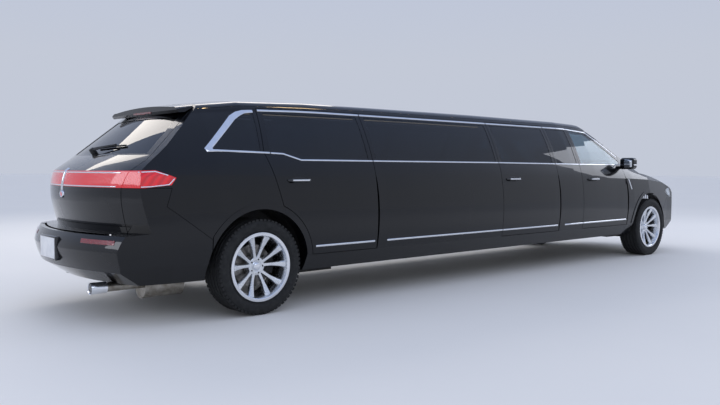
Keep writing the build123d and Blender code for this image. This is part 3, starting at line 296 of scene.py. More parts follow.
# Finish: the CAD nodes that have it
NODE_FINISH = {
    "paint": [*both("body_side"), "roof", "front_fenders", "front_bumper", "rear_bumper", "hood", "liftgate",
              "fifth_door_right", *both("rear_door", "front_door")],
    "privacy_glass": ["fixed_side_glass", "liftgate_glass", "fifth_door_glass_right", *both("rear_door_glass")],
    "clear_glass": ["windscreen", *both("front_door_glass")],
    # The lamp lenses carry the red lens finish, with its painted rib highlights and painted glow.
    "red_lens": ["liftgate_lamp", "quarter_lamps"],
    "clear_lens": ["headlamps"],
    "chrome": ["grille"],
    "alloy": both("rim_front", "rim_rear"),
    "iron": both("brake_disc_front", "brake_disc_rear"),
    "chassis": ["bulkhead", "frame_rails", "front_aprons", "front_subframe", "rear_subframe", "fuel_tank",
                *both("knuckle"), "radiator", "engine", "floor_pan"],
    "plastic": ["dashboard"],
    "leather": ["steering_wheel"],
    "wood": ["partition", "bar_cabinet"],
    "stainless": ["exhaust"],
    "rubber": both("tyre_front", "tyre_rear"),
}


# Mesh helpers

def shade(mesh):
    """Smooth shading that keeps edges sharper than the smoothing angle."""
    mesh.polygons.foreach_set("use_smooth", [True] * len(mesh.polygons))
    mesh.set_sharp_from_angle(angle=SMOOTH_ANGLE)


def outward_mesh(name, verts, faces, weld=0.0):
    """Mesh with outward normals; points closer than the weld are joined."""
    mesh = bpy.data.meshes.new(name)
    mesh.from_pydata([tuple(v) for v in verts], [], faces)
    bm = bmesh.new()
    bm.from_mesh(mesh)
    if weld:
        bmesh.ops.remove_doubles(bm, verts=bm.verts, dist=weld)
    bmesh.ops.recalc_face_normals(bm, faces=bm.faces)
    bm.to_mesh(mesh)
    bm.free()
    return mesh


def settle(name, mesh, material, body="body"):
    """Object of a finished mesh with its material, slot and body."""
    shade(mesh)
    obj = bpy.data.objects.new(name, mesh)
    bpy.context.scene.collection.objects.link(obj)
    mesh.materials.clear()
    mesh.materials.append(MADE[material])
    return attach(obj, body)


def place(name, verts, faces, material, body="body"):
    """Piece from a (verts, faces) shape in its place, riding on a body."""
    return settle(name, outward_mesh(name, verts, faces, WELD), material, body)


def joined(shapes):
    """One (verts, faces) shape from several."""
    verts, faces = [], []
    for shape_verts, shape_faces in shapes:
        base = len(verts)
        verts += [Vector(v) for v in shape_verts]
        faces += [[base + i for i in face] for face in shape_faces]
    return verts, faces


def merged(name, shapes, material, body="body"):
    """One piece from several (verts, faces) shapes."""
    return place(name, *joined(shapes), material, body)


def shares(count):
    """Even shares from 0 to 1 in a number of steps."""
    return [k / count for k in range(count + 1)]


def moved(shape, matrix):
    """A (verts, faces) shape carried by a matrix."""
    return [matrix @ Vector(v) for v in shape[0]], shape[1]


def ring_faces(a, b, count):
    """Faces between two rings of points that start at the numbers a and b."""
    return [[a + j, a + k, b + k, b + j] for j, k in enumerate([*range(1, count), 0])]


def tube(rings):
    """Shape through rings of points, capped at both ends, as (verts, faces)."""
    count = len(rings[0])
    verts = [point for ring in rings for point in ring]
    last = len(verts) - count
    faces = [face for a in range(0, last, count) for face in ring_faces(a, a + count, count)]
    return verts, faces + [list(range(count))[::-1], list(range(last, len(verts)))]


def rounded_block(low, high, radius, segments=3):
    """Box between two corners with rounded edges, as (verts, faces)."""
    low, high = Vector(low), Vector(high)
    bm = bmesh.new()
    bmesh.ops.create_cube(bm, size=1.0)
    size = high - low
    centre = (high + low) / 2
    for v in bm.verts:
        v.co = Vector([c * s for c, s in zip(v.co, size)]) + centre
    bmesh.ops.bevel(bm, geom=list(bm.edges), offset=radius, segments=segments, profile=0.5, affect="EDGES")
    bm.verts.index_update()
    shape = ([v.co.copy() for v in bm.verts], [[v.index for v in f.verts] for f in bm.faces])
    bm.free()
    return shape


def block(name, low, high, radius, segments, material):
    """Rounded block as a piece of its own on the body."""
    return place(name, *rounded_block(low, high, radius, segments), material)


def lathe(profile, centre, axis, segments=48):
    """Turned shape from (radius, distance along the axis) points, as (verts, faces)."""
    axis = Vector(axis).normalized()
    across = axis.orthogonal().normalized()
    other = axis.cross(across)
    verts, faces = [], []
    count = len(profile)
    for i in range(segments):
        angle = 2 * pi * i / segments
        ray = across * cos(angle) + other * sin(angle)
        verts += [Vector(centre) + ray * r + axis * d for r, d in profile]
        faces += ring_faces(i * count, (i + 1) % segments * count, count)
    return verts, faces


def turned(name, profile, centre, axis, segments, material, body="body"):
    """Turned shape as a piece of its own."""
    return place(name, *lathe(profile, centre, axis, segments), material, body)


def oblong(angle, power):
    """Point at an angle of an outline between a circle (power 1) and a square (power 0)."""
    return [abs(c) ** power * (1 if c > 0 else -1) for c in (cos(angle), sin(angle))]


def sweep(path, widths, heights, up, sides=12, power=2.6):
    """Bar of rounded-oblong section along a path, capped at both ends, as (verts, faces).

    Widths and heights are lists, or one number for the whole path.
    """
    widths, heights = [w if isinstance(w, list) else [w] * len(path) for w in (widths, heights)]
    section = [oblong(2 * pi * k / sides, 2 / power) for k in range(sides)]
    rings = []
    for i, point in enumerate(path):
        ahead = (Vector(path[min(i + 1, len(path) - 1)]) - Vector(path[max(i - 1, 0)])).normalized()
        across = ahead.cross(Vector(up)).normalized()
        rise = across.cross(ahead).normalized()
        rings.append([Vector(point) + across * (c * widths[i] / 2) + rise * (s * heights[i] / 2)
                      for c, s in section])
    return tube(rings)


# Pieces that lie on the body's skin

@cache
def skin_tree(names):
    """Ray-casting tree of some CAD nodes."""
    verts, faces = [], []
    for name in names:
        mesh = frame["nodes"][name].data
        base = len(verts)
        verts += [v.co.copy() for v in mesh.vertices]
        faces += [[base + i for i in p.vertices] for p in mesh.polygons]
    return BVHTree.FromPolygons(verts, faces)


OUTER = (*both("body_side"), "roof", "front_fenders", "front_bumper", "rear_bumper", "hood", "liftgate",
         "liftgate_glass", "liftgate_lamp", "quarter_lamps", *both("rear_door"), "fifth_door_right",
         *both("front_door", "rear_door_glass"), "fifth_door_glass_right", *both("front_door_glass"),
         "fixed_side_glass", "windscreen", "grille", "headlamps")
X, Y, Z = range(3)
# View: (axis along which its rays run, their start on it, their way, their reach). u and v are the places on
# the other two axes. A side view stops short of the far side of the car.
VIEWS = {
    "right": (Y, -2.0, 1, 1.9), "left": (Y, 2.0, -1, 1.9), "rear": (X, -6.0, 1, 9.0), "front": (X, 6.0, -1, 9.0),
    "ceiling": (Z, 1.30, 1, 1.0), "ahead": (X, 1.9, 1, 1.2), "deck": (Z, 1.20, -1, 1.2),
    "in_right": (Y, -0.30, -1, 1.2), "in_left": (Y, 0.30, 1, 1.2),
}


def on_skin(view, u, v, names=OUTER):
    """Point of the skin seen from a view, and its normal towards the viewer."""
    axis, level, way, reach = VIEWS[view]
    start, ray = [u, v], [0, 0]
    start.insert(axis, level)
    ray.insert(axis, way)
    point, normal, *_ = skin_tree(names).ray_cast(Vector(start), Vector(ray), reach)
    if point is None:
        return None, None
    return point, normal if normal.dot(Vector(ray)) < 0 else -normal


def over_skin(view, u, v, rise, names=OUTER):
    """Point that stands off the skin."""
    point, normal = on_skin(view, u, v, names)
    return point + normal * rise


def between(a, b, t):
    """Point at a share t of the way from a to b."""
    return [p + (q - p) * t for p, q in zip(a, b)]


def paired_runs(rail_a, rail_b, step):
    """Pairs of points along two rails with the same number of points, cut together."""
    pairs = []
    for a0, a1, b0, b1 in zip(rail_a, rail_a[1:], rail_b, rail_b[1:]):
        count = max(1, int(max(dist(a0, a1), dist(b0, b1)) / step + 0.5))
        pairs += [(between(a0, a1, k / count), between(b0, b1, k / count)) for k in range(count)]
    return pairs + [(rail_a[-1], rail_b[-1])]


def offset_rails(points, width):
    """Two rails on either side of a centre line."""
    rail_a, rail_b = [], []
    for i, (u, v) in enumerate(points):
        before, after = points[max(i - 1, 0)], points[min(i + 1, len(points) - 1)]
        length = dist(before, after)
        nu, nv = -(after[1] - before[1]) / length, (after[0] - before[0]) / length
        rail_a.append((u + nu * width / 2, v + nv * width / 2))
        rail_b.append((u - nu * width / 2, v - nv * width / 2))
    return rail_a, rail_b


# Cross-section of a band: (share of the way from one rail to the other, share of the rise, or -1 for the sunk edge)
CROSS = ((0.0, -1.0), (0.0, 0.35), (0.12, 0.8), (0.3, 1.0), (0.7, 1.0), (0.88, 0.8), (1.0, 0.35), (1.0, -1.0))


def skin_shape(view, rail_a, rail_b, rise, step=0.03, names=OUTER, cross=CROSS):
    """Raised band between two rails that lies on the skin, as (verts, faces)."""
    rings = []
    for a, b in paired_runs(rail_a, rail_b, step):
        seen = [on_skin(view, *between(a, b, t), names) for t, h in cross]
        if all(point is not None for point, normal in seen):
            rings.append([point + normal * (rise * h if h > 0 else -SINK)
                          for (point, normal), (t, h) in zip(seen, cross)])
    return tube(rings)


def skin_strip(view, points, width, rise, **more):
    """Raised strip of an even width along a line on the skin."""
    return skin_shape(view, *offset_rails(points, width), rise, **more)


def flat_cross(columns, edge=0.06):
    """Cross-section of a wide flat patch with softened edges."""
    middle = [(edge + (1 - 2 * edge) * k / columns, 1.0) for k in range(columns + 1)]
    return ((0.0, -1.0), (0.0, 0.5)) + tuple(middle) + ((1.0, 0.5), (1.0, -1.0))


def patch(view, low, high, rise, step, names, cross=CROSS):
    """Raised patch over a rectangle of the view between two corners, as (verts, faces)."""
    (u0, v0), (u1, v1) = low, high
    return skin_shape(view, [(u0, v1), (u1, v1)], [(u0, v0), (u1, v0)], rise, step, names, cross)


# Geometry node trees for what repeats

def new_tree(name, sockets):
    """Geometry node tree with named inputs; returns the tree, its input and its output node."""
    tree = bpy.data.node_groups.new(name, "GeometryNodeTree")
    tree.interface.new_socket(name="Geometry", in_out="INPUT", socket_type="NodeSocketGeometry")
    for label, kind in sockets:
        tree.interface.new_socket(name=label, in_out="INPUT", socket_type="NodeSocket" + kind)
    tree.interface.new_socket(name="Geometry", in_out="OUTPUT", socket_type="NodeSocketGeometry")
    return tree, tree.nodes.new("NodeGroupInput"), tree.nodes.new("NodeGroupOutput")


def close_tree(tree, instances, given, output):
    """Realize the instances and set the material at a tree's end."""
    real = add(tree, "GeometryNodeRealizeInstances", {"Geometry": instances})
    painted = add(tree, "GeometryNodeSetMaterial",
                  {"Geometry": real.outputs["Geometry"], "Material": given.outputs["Material"]})
    tree.links.new(painted.outputs["Geometry"], output.inputs["Geometry"])
    return tree


def ring_tree():
    """Copies of a shape spaced evenly on a circle about Z, turned outwards."""
    tree, given, output = new_tree("ring_of_copies", [("Count", "Int"), ("Radius", "Float"), ("Material", "Material")])
    circle = add(tree, "GeometryNodeMeshCircle", {"Vertices": given.outputs["Count"],
                                                  "Radius": given.outputs["Radius"]})
    index = add(tree, "GeometryNodeInputIndex")
    share = add(tree, "ShaderNodeMath", {0: index.outputs[0], 1: given.outputs["Count"]}, operation="DIVIDE")
    angle = add(tree, "ShaderNodeMath", {0: share.outputs[0], 1: 2 * pi}, operation="MULTIPLY")
    turn = add(tree, "ShaderNodeCombineXYZ", {"Z": angle.outputs[0]})
    copies = add(tree, "GeometryNodeInstanceOnPoints", {
        "Points": circle.outputs["Mesh"], "Instance": given.outputs["Geometry"], "Rotation": turn.outputs[0]})
    return close_tree(tree, copies.outputs["Instances"], given, output)


def row_tree():
    """Copies of a shape spaced evenly along a line."""
    tree, given, output = new_tree("row_of_copies", [("Count", "Int"), ("Offset", "Vector"), ("Material", "Material")])
    line = add(tree, "GeometryNodeMeshLine", {"Count": given.outputs["Count"], "Offset": given.outputs["Offset"]})
    copies = add(tree, "GeometryNodeInstanceOnPoints", {
        "Points": line.outputs["Mesh"], "Instance": given.outputs["Geometry"]})
    return close_tree(tree, copies.outputs["Instances"], given, output)


def path_tree():
    """Round cord along a path, for seat piping."""
    tree, given, output = new_tree("cord_on_path", [("Radius", "Float"), ("Material", "Material")])
    round_section = add(tree, "GeometryNodeCurvePrimitiveCircle", {"Resolution": 8,
                                                                   "Radius": given.outputs["Radius"]})
    swept = add(tree, "GeometryNodeCurveToMesh", {
        "Curve": given.outputs["Geometry"], "Profile Curve": round_section.outputs["Curve"], "Fill Caps": True})
    return close_tree(tree, swept.outputs["Mesh"], given, output)


TREES = {}


def grown(name, tree_name, data, inputs, material, body, matrix=None):
    """Plain mesh that a geometry node tree makes from some data."""
    if tree_name not in TREES:
        TREES[tree_name] = {"ring": ring_tree, "row": row_tree, "path": path_tree}[tree_name]()
    tree = TREES[tree_name]
    maker = bpy.data.objects.new(name + "_maker", data)
    bpy.context.scene.collection.objects.link(maker)
    modifier = maker.modifiers.new("copies", "NODES")
    modifier.node_group = tree
    given = dict(inputs, Material=MADE[material])
    for item in tree.interface.items_tree:
        if item.in_out == "INPUT" and item.name in given:
            modifier[item.identifier] = given[item.name]
    bpy.context.view_layer.update()
    mesh = bpy.data.meshes.new_from_object(maker.evaluated_get(bpy.context.evaluated_depsgraph_get()))
    mesh.name = name
    maker.modifiers.remove(modifier)
    bpy.data.objects.remove(maker)
    if matrix:
        mesh.transform(matrix)
    return settle(name, mesh, material, body)


def seed_mesh(shape):
    """Mesh of one (verts, faces) shape, to be repeated."""
    mesh = outward_mesh("seed", *shape)
    shade(mesh)
    return mesh


def closed_curve(points):
    """Closed poly curve through points, for the path tree."""
    curve = bpy.data.curves.new("path", "CURVE")
    curve.dimensions = "3D"
    spline = curve.splines.new("POLY")
    spline.points.add(len(points) - 1)
    for target, point in zip(spline.points, points):
        target.co = (*point, 1.0)
    spline.use_cyclic_u = True
    return curve


# Sizes and colours that a user may change

class LimousineSettings(bpy.types.PropertyGroup):
    """Colours and sizes of the dressing."""

    paint: bpy.props.StringProperty(name="Paint", description="Body colour as an sRGB hex value",
                                    default="#06070b")
    trim_width: bpy.props.FloatProperty(name="Trim width", description="Width of the chrome window strips",
                                        default=0.015, min=0.004, max=0.04, unit="LENGTH", subtype="DISTANCE")
    sill_strip_height: bpy.props.FloatProperty(name="Sill strip height", description="Height of the strip on the doors",
                                               default=0.495, min=0.4, max=0.7, unit="LENGTH", subtype="DISTANCE")
    tread_blocks: bpy.props.IntProperty(name="Tread blocks", description="Shoulder blocks round each tyre",
                                        default=64, min=24, max=96)
    light_level: bpy.props.FloatProperty(name="Light level", description="Power of the studio lamps",
                                         default=1.0, min=0.1, max=4.0)


def settings():
    """The scene's limousine settings."""
    return bpy.context.scene.limousine_settings


# Operators

class LIMO_OT_finishes(bpy.types.Operator):
    """Give the CAD nodes in the finish table their procedural finishes"""

    bl_idname = "limo.finishes"
    bl_label = "Finishes"

    def execute(self, context):
        make_finishes(settings().paint)
        for key, names in NODE_FINISH.items():
            for name in names:
                mesh = frame["nodes"][name].data
                mesh.materials.clear()
                mesh.materials.append(MADE[key])
        return {"FINISHED"}


def height_on(line, x):
    """Height of a line of the side view at a place along the car."""
    for (x0, z0), (x1, z1) in zip(line, line[1:]):
        if x <= x1:
            return z0 + (z1 - z0) * (x - x0) / (x1 - x0)
    return line[-1][1]


def run_of(line, x_from, x_to, drop=0.0):
    """Part of a line of the side view between two places, lowered by a drop."""
    inner = [x for x, z in line if x_from + 0.01 < x < x_to - 0.01]
    return [(x, height_on(line, x) - drop) for x in [x_from, *inner, x_to]]


def side_bodies(side):
    """Panels along one side from the rear to the front: (body, from, to)."""
    rows = [(f"rear_door_{side}", *REAR_DOOR)]
    if side == "right":
        rows += [("body", REAR_DOOR[1], FIFTH_DOOR[0]), ("fifth_door_right", *FIFTH_DOOR),
                 ("body", FIFTH_DOOR[1], FRONT_DOOR[0])]
    else:
        rows += [("body", REAR_DOOR[1], FRONT_DOOR[0])]
    return rows + [(f"front_door_{side}", *FRONT_DOOR)]


class LIMO_OT_window_trim(bpy.types.Operator):
    """Chrome strips over and under the side windows, and the quarter window's surround"""

    bl_idname = "limo.window_trim"
    bl_label = "Window trim"

    def execute(self, context):
        width = settings().trim_width
        for side in SIDES:
            groups = {}
            for body, x_from, x_to in side_bodies(side):
                shapes = groups.setdefault(body, [])
                gap = BODY_SHUT if body == "body" else SHUT
                x0, x1 = x_from + gap, x_to - gap
                if body.startswith("front_door"):
                    x1 = x_to - NOSE_GAP
                shapes.append(skin_strip(side, run_of(FRAME_LINE, x0, x1, 0.013), width, 0.004))
                shapes.append(skin_strip(side, run_of(BELT_LINE, x0, min(x1, BELT_END)), 0.012, 0.004))
            outer, inner = [[(REAR_AXLE + x, z) for x, z in rail] for rail in QUARTER_WINDOW]
            groups["body"].append(skin_shape(side, outer, inner, 0.006))
            for body, shapes in groups.items():
                merged(f"window_chrome_{side}_{body}", shapes, "chrome", body)
        return {"FINISHED"}


class LIMO_OT_lower_trim(bpy.types.Operator):
    """Chrome strip low on the doors and between them"""

    bl_idname = "limo.lower_trim"
    bl_label = "Lower trim"

    def execute(self, context):
        z = settings().sill_strip_height
        for side in SIDES:
            groups = {}
            for body, x_from, x_to in side_bodies(side):
                gap = BODY_SHUT if body == "body" else SHUT
                x0 = x_from + gap if not body.startswith("rear_door") else REAR_AXLE + 0.520
                x1 = x_to - (BODY_SHUT if body == "body" else HINGE_SHUT)
                groups.setdefault(body, []).append(skin_strip(side, [(x0, z), (x1, z)], 0.016, 0.005, step=0.12))
            for body, shapes in groups.items():
                merged(f"sill_strip_{side}_{body}", shapes, "chrome", body)
        return {"FINISHED"}


# Door: (rear end of its handle, front end, height)
HANDLES = {"rear_door": (-2.640, -2.414, 1.030), "fifth_door": (0.130, 0.356, 1.018),
           "front_door": (1.672, 1.898, 1.005)}


class LIMO_OT_door_handles(bpy.types.Operator):
    """Pull handles with chrome backs over dark cups"""

    bl_idname = "limo.door_handles"
    bl_label = "Door handles"

    def execute(self, context):
        for side, sign in SIDES.items():
            for door, (x0, x1, z) in HANDLES.items():
                body = f"{door}_{side}"
                if body not in frame["bodies"]:
                    continue
                path, widths, heights, shine = [], [], [], []
                for t in shares(16):
                    x = x0 + (x1 - x0) * t
                    point, normal = on_skin(side, x, z)
                    stand = 0.002 + 0.034 * min(1.0, sin(pi * t) * 1.8)
                    path.append(point + Vector((0, sign * stand, 0)))
                    shine.append(point + Vector((0, sign * (stand + 0.0065), 0)))
                    full = 0.55 + 0.45 * min(1.0, sin(pi * t) * 2.2)
                    widths.append(0.026 * full)
                    heights.append(0.013 * (0.7 + 0.3 * full))
                place(f"handle_{body}", *sweep(path, widths, heights, (0, sign, 0)), "gloss_plastic", body)
                inner = slice(2, 15)
                strip = sweep(shine[inner], [w * 0.45 for w in widths[inner]], 0.003, (0, sign, 0))
                place(f"handle_strip_{body}", *strip, "chrome", body)
                mid = (x0 + x1) / 2
                rail_a = [(mid - 0.075 + 0.15 * t, z + 0.027 * sin(pi * (0.06 + 0.88 * t)) ** 0.5)
                          for t in shares(10)]
                rail_b = [(u, 2 * z - v) for u, v in rail_a]
                cup = skin_shape(side, rail_a, rail_b, 0.0012, cross=flat_cross(4))
                place(f"handle_cup_{body}", *cup, "plastic", body)
        return {"FINISHED"}


class LIMO_OT_tail(bpy.types.Operator):
    """Lamp trims, ornament, wiper, plate, reflectors and high brake lamp"""

    bl_idname = "limo.tail"
    bl_label = "Tail"

    def execute(self, context):
        edges = []
        for z, reach in ((1.089, 0.685), (0.992, 0.668)):
            line = [(-reach + 2 * reach * t, z) for t in shares(36)]
            edges.append(skin_strip("rear", line, 0.009, 0.005, step=0.1, names=("liftgate_lamp",)))
        merged("lamp_chrome_edges", edges, "chrome", "liftgate")
        q = REAR_AXLE
        only = ("quarter_lamps",)
        for side in SIDES:
            low = [(q - 0.925, 0.992), (q - 0.860, 0.994), (q - 0.735, 1.008), (q - 0.695, 1.048)]
            high = [(q - 0.925, 1.094), (q - 0.818, 1.099), (q - 0.695, 1.060)]
            edges = [skin_strip(side, line, 0.008, 0.004, step=0.02, names=only) for line in (low, high)]
            merged(f"quarter_lamp_chrome_{side}", edges, "chrome")
        stem = skin_shape("rear", [(-0.020, 1.112), (-0.013, 1.060), (-0.009, 1.000), (-0.008, 0.955)],
                          [(0.020, 1.112), (0.013, 1.060), (0.009, 1.000), (0.008, 0.955)], 0.012, step=0.02)
        point, normal = on_skin("rear", 0.0, 0.925)
        ring = lathe([(0.0, 0.010), (0.018, 0.010), (0.020, 0.014), (0.025, 0.014), (0.029, 0.009), (0.030, -0.004),
                      (0.0, -0.004)], point, normal, 40)
        merged("centre_ornament", [stem, ring], "chrome", "liftgate")
        # The insert has the red lens finish, so it shows its painted glow and painted rib highlights, though it is no
        # lamp.
        turned("ornament_insert", [(0.0, 0.0118), (0.017, 0.0112), (0.018, 0.008), (0.0, 0.008)], point, normal, 32,
               "red_lens", "liftgate")
        self.wiper()
        self.bumper_pieces()
        brake = skin_shape("rear", [(-0.160, 1.566), (0.160, 1.566)], [(-0.160, 1.552), (0.160, 1.552)], 0.003,
                           cross=flat_cross(2))
        place("high_brake_lamp", *brake, "reflector", "liftgate")
        return {"FINISHED"}

    def wiper(self):
        """Rear wiper parked along the foot of the glass."""
        arm = [over_skin("rear", 0.075 - 0.300 * t, 1.236 + 0.044 * t, 0.034 - 0.010 * t) for t in shares(12)]
        blade = [over_skin("rear", 0.060 - 0.400 * t, 1.268 + 0.016 * t, 0.010) for t in shares(16)]
        shapes = [sweep(arm, [0.030 - 0.018 * t for t in shares(12)], 0.012, (-1, 0, 0.4)),
                  sweep(blade, 0.011, 0.016, (-1, 0, 0.4), 8)]
        point, normal = on_skin("rear", 0.075, 1.236)
        shapes.append(lathe([(0.0, 0.046), (0.017, 0.044), (0.022, 0.036), (0.024, -0.004), (0.0, -0.004)],
                            point, normal, 28))
        merged("rear_wiper", shapes, "plastic", "liftgate")

    def bumper_pieces(self):
        """Blank plate, reflectors and exhaust finisher on the bumper."""
        half, low, high = 0.1525, 0.455, 0.607
        x_plate = min(on_skin("rear", 0.0, low + 0.02 * k)[0].x for k in range(8)) - 0.004
        block("number_plate_blank", (x_plate - 0.002, -half, low), (x_plate, half, high), 0.0009, 2, "plate")
        block("plate_holder", (x_plate + 0.0005, -half - 0.012, low - 0.012),
              (x_plate + 0.045, half + 0.012, high + 0.012), 0.006, 3, "gloss_plastic")
        for side, sign in SIDES.items():
            rail_a = [(sign * y, 0.626) for y in (0.46, 0.58, 0.70, 0.79)]
            rail_b = [(sign * y, 0.596) for y in (0.47, 0.58, 0.70, 0.80)]
            place(f"bumper_reflector_{side}", *skin_shape("rear", rail_a, rail_b, 0.003, cross=flat_cross(2)),
                  "reflector")
        turned("exhaust_finisher", [(0.036, 0.0), (0.041, -0.004), (0.042, 0.006), (0.041, 0.110), (0.036, 0.110),
                                    (0.036, 0.0)], (-4.060, -0.560, 0.278), (1, 0, 0), 40, "chrome")


SPOKE_PAIRS = 5
WHEEL_NUTS = 5
NUT_CIRCLE = 0.0545
NO_RADIUS = 0.00001  # for a ring whose copies are drawn at their own distance from its centre


class LIMO_OT_wheels(bpy.types.Operator):
    """Tyres with tread, rims, wheel nuts, caps and valves"""

    bl_idname = "limo.wheels"
    bl_label = "Wheels"

    def execute(self, context):
        for axle, x in (("front", FRONT_AXLE), ("rear", REAR_AXLE)):
            for side, sign in SIDES.items():
                self.wheel(axle, side, Vector((x, sign * WHEEL_Y, WHEEL_Z)), sign)
        return {"FINISHED"}

    def wheel(self, axle, side, centre, sign):
        """One wheel's pieces, all riding on the wheel."""
        body = f"wheel_{axle}_{side}"
        out = Vector((0, sign, 0))
        half = [(0.262, 0.098), (0.268, 0.109), (0.276, 0.1135), (0.280, 0.1175), (0.286, 0.1175), (0.290, 0.1205),
                (0.300, 0.1245), (0.312, 0.1270), (0.318, 0.1262), (0.322, 0.1270), (0.336, 0.1245), (0.346, 0.1205),
                (0.353, 0.1150), (0.3560, 0.108)]
        for y in (0.066, 0.022):
            half += [(0.3662, y + 0.030), (0.3675, y + 0.0065), (0.3595, y + 0.0045), (0.3595, y - 0.0045),
                     (0.3675, y - 0.0065)]
        profile = half + [(r, -d) for r, d in half[::-1]] + [(0.256, -0.098), (0.256, 0.098)]
        carcass = turned(f"tyre_{axle}_{side}_carcass", profile, centre, out, 96, "rubber", body)
        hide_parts(f"tyre_{axle}_{side}")
        turn = Matrix.Translation(centre) @ Matrix.Rotation(-pi / 2 * sign, 4, "X")
        root, foot, crown = 0.352, 0.350, 0.3675  # radii of the block ring, the blocks' feet and their tops
        for row, (d0, d1) in enumerate(((0.074, 0.116), (-0.116, -0.074))):
            shape = rounded_block((foot - root, -0.0125, d0), (crown - root, 0.0125, d1), 0.0015, 1)
            grown(f"tyre_{axle}_{side}_blocks_{row}", "ring", seed_mesh(shape),
                  {"Count": settings().tread_blocks, "Radius": root}, "rubber", body, turn)
        self.rim(axle, side, centre, out, turn, body)
        nut = lathe([(0.0, 0.050), (0.008, 0.050), (0.0105, 0.046), (0.0105, 0.020), (0.0, 0.020)], (0, 0, 0),
                    (0, 0, 1), 6)
        grown(f"wheel_nuts_{axle}_{side}", "ring", seed_mesh(nut), {"Count": WHEEL_NUTS, "Radius": NUT_CIRCLE},
              "chrome", body, turn)
        turned(f"wheel_cap_{axle}_{side}", [(0.0, 0.064), (0.012, 0.0636), (0.024, 0.061), (0.030, 0.056),
                                            (0.034, 0.046), (0.034, 0.030), (0.0, 0.030)],
               centre, out, 40, "chrome", body)
        turned(f"rim_lip_{axle}_{side}", [(0.2620, 0.1175), (0.2650, 0.1190), (0.2610, 0.1202), (0.2440, 0.1196),
                                          (0.2400, 0.1160), (0.2420, 0.1150)], centre, out, 96, "chrome", body)
        stem = [centre + Vector((0.0, 0.0, 0.232)) + out * d for d in (0.060, 0.075, 0.090, 0.104)]
        girths = [0.009, 0.009, 0.008, 0.007]
        place(f"tyre_valve_{axle}_{side}", *sweep(stem, girths, girths, (0, 0, 1), 8, 2.0), "plastic", body)

    def rim(self, axle, side, centre, out, turn, body):
        """Cast rim: a barrel, a hub and ten slim spokes that leave it in pairs and flare at the rim."""
        barrel = [(0.254, -0.108), (0.266, -0.108), (0.266, -0.118), (0.238, -0.118), (0.232, -0.078),
                  (0.224, -0.020), (0.222, 0.020), (0.228, 0.080), (0.236, 0.104), (0.241, 0.1165),
                  (0.262, 0.1180), (0.266, 0.1165), (0.266, 0.108), (0.254, 0.108)]
        piece = turned(f"rim_{axle}_{side}_barrel", barrel, centre, out, 96, "alloy", body)
        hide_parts(f"rim_{axle}_{side}")
        hub = [(0.0245, 0.004), (0.072, 0.004), (0.078, 0.012), (0.078, 0.030), (0.070, 0.046), (0.060, 0.050),
               (0.046, 0.050), (0.040, 0.046), (0.0245, 0.046)]
        turned(f"rim_{axle}_{side}_hub", hub, centre, out, 72, "alloy", body)
        spokes = []
        for hand in (-1, 1):
            rings = []
            for t in shares(12):
                r = 0.056 + 0.181 * t
                half = 0.0165 - 0.0025 * sin(pi * min(1.0, t * 1.5)) + 0.0115 * t ** 2.5
                front = 0.048 + 0.052 * t ** 1.3
                back = front - 0.034 + 0.008 * t
                angle = hand * radians(12.5 + 5.0 * t)
                section = ((-1.0, back), (-0.98, front - 0.008), (-0.72, front), (0.0, front + 0.0015),
                           (0.72, front), (0.98, front - 0.008), (1.0, back))
                c, s = cos(angle), sin(angle)
                rings.append([Vector((r * c - w * half * s, r * s + w * half * c, d)) for w, d in section])
            spokes.append(tube(rings))
        grown(f"rim_{axle}_{side}_spokes", "ring", seed_mesh(joined(spokes)),
              {"Count": SPOKE_PAIRS, "Radius": NO_RADIUS}, "alloy", body,
              turn @ Matrix.Rotation(radians(-18 if out.y > 0 else 18), 4, "Z"))


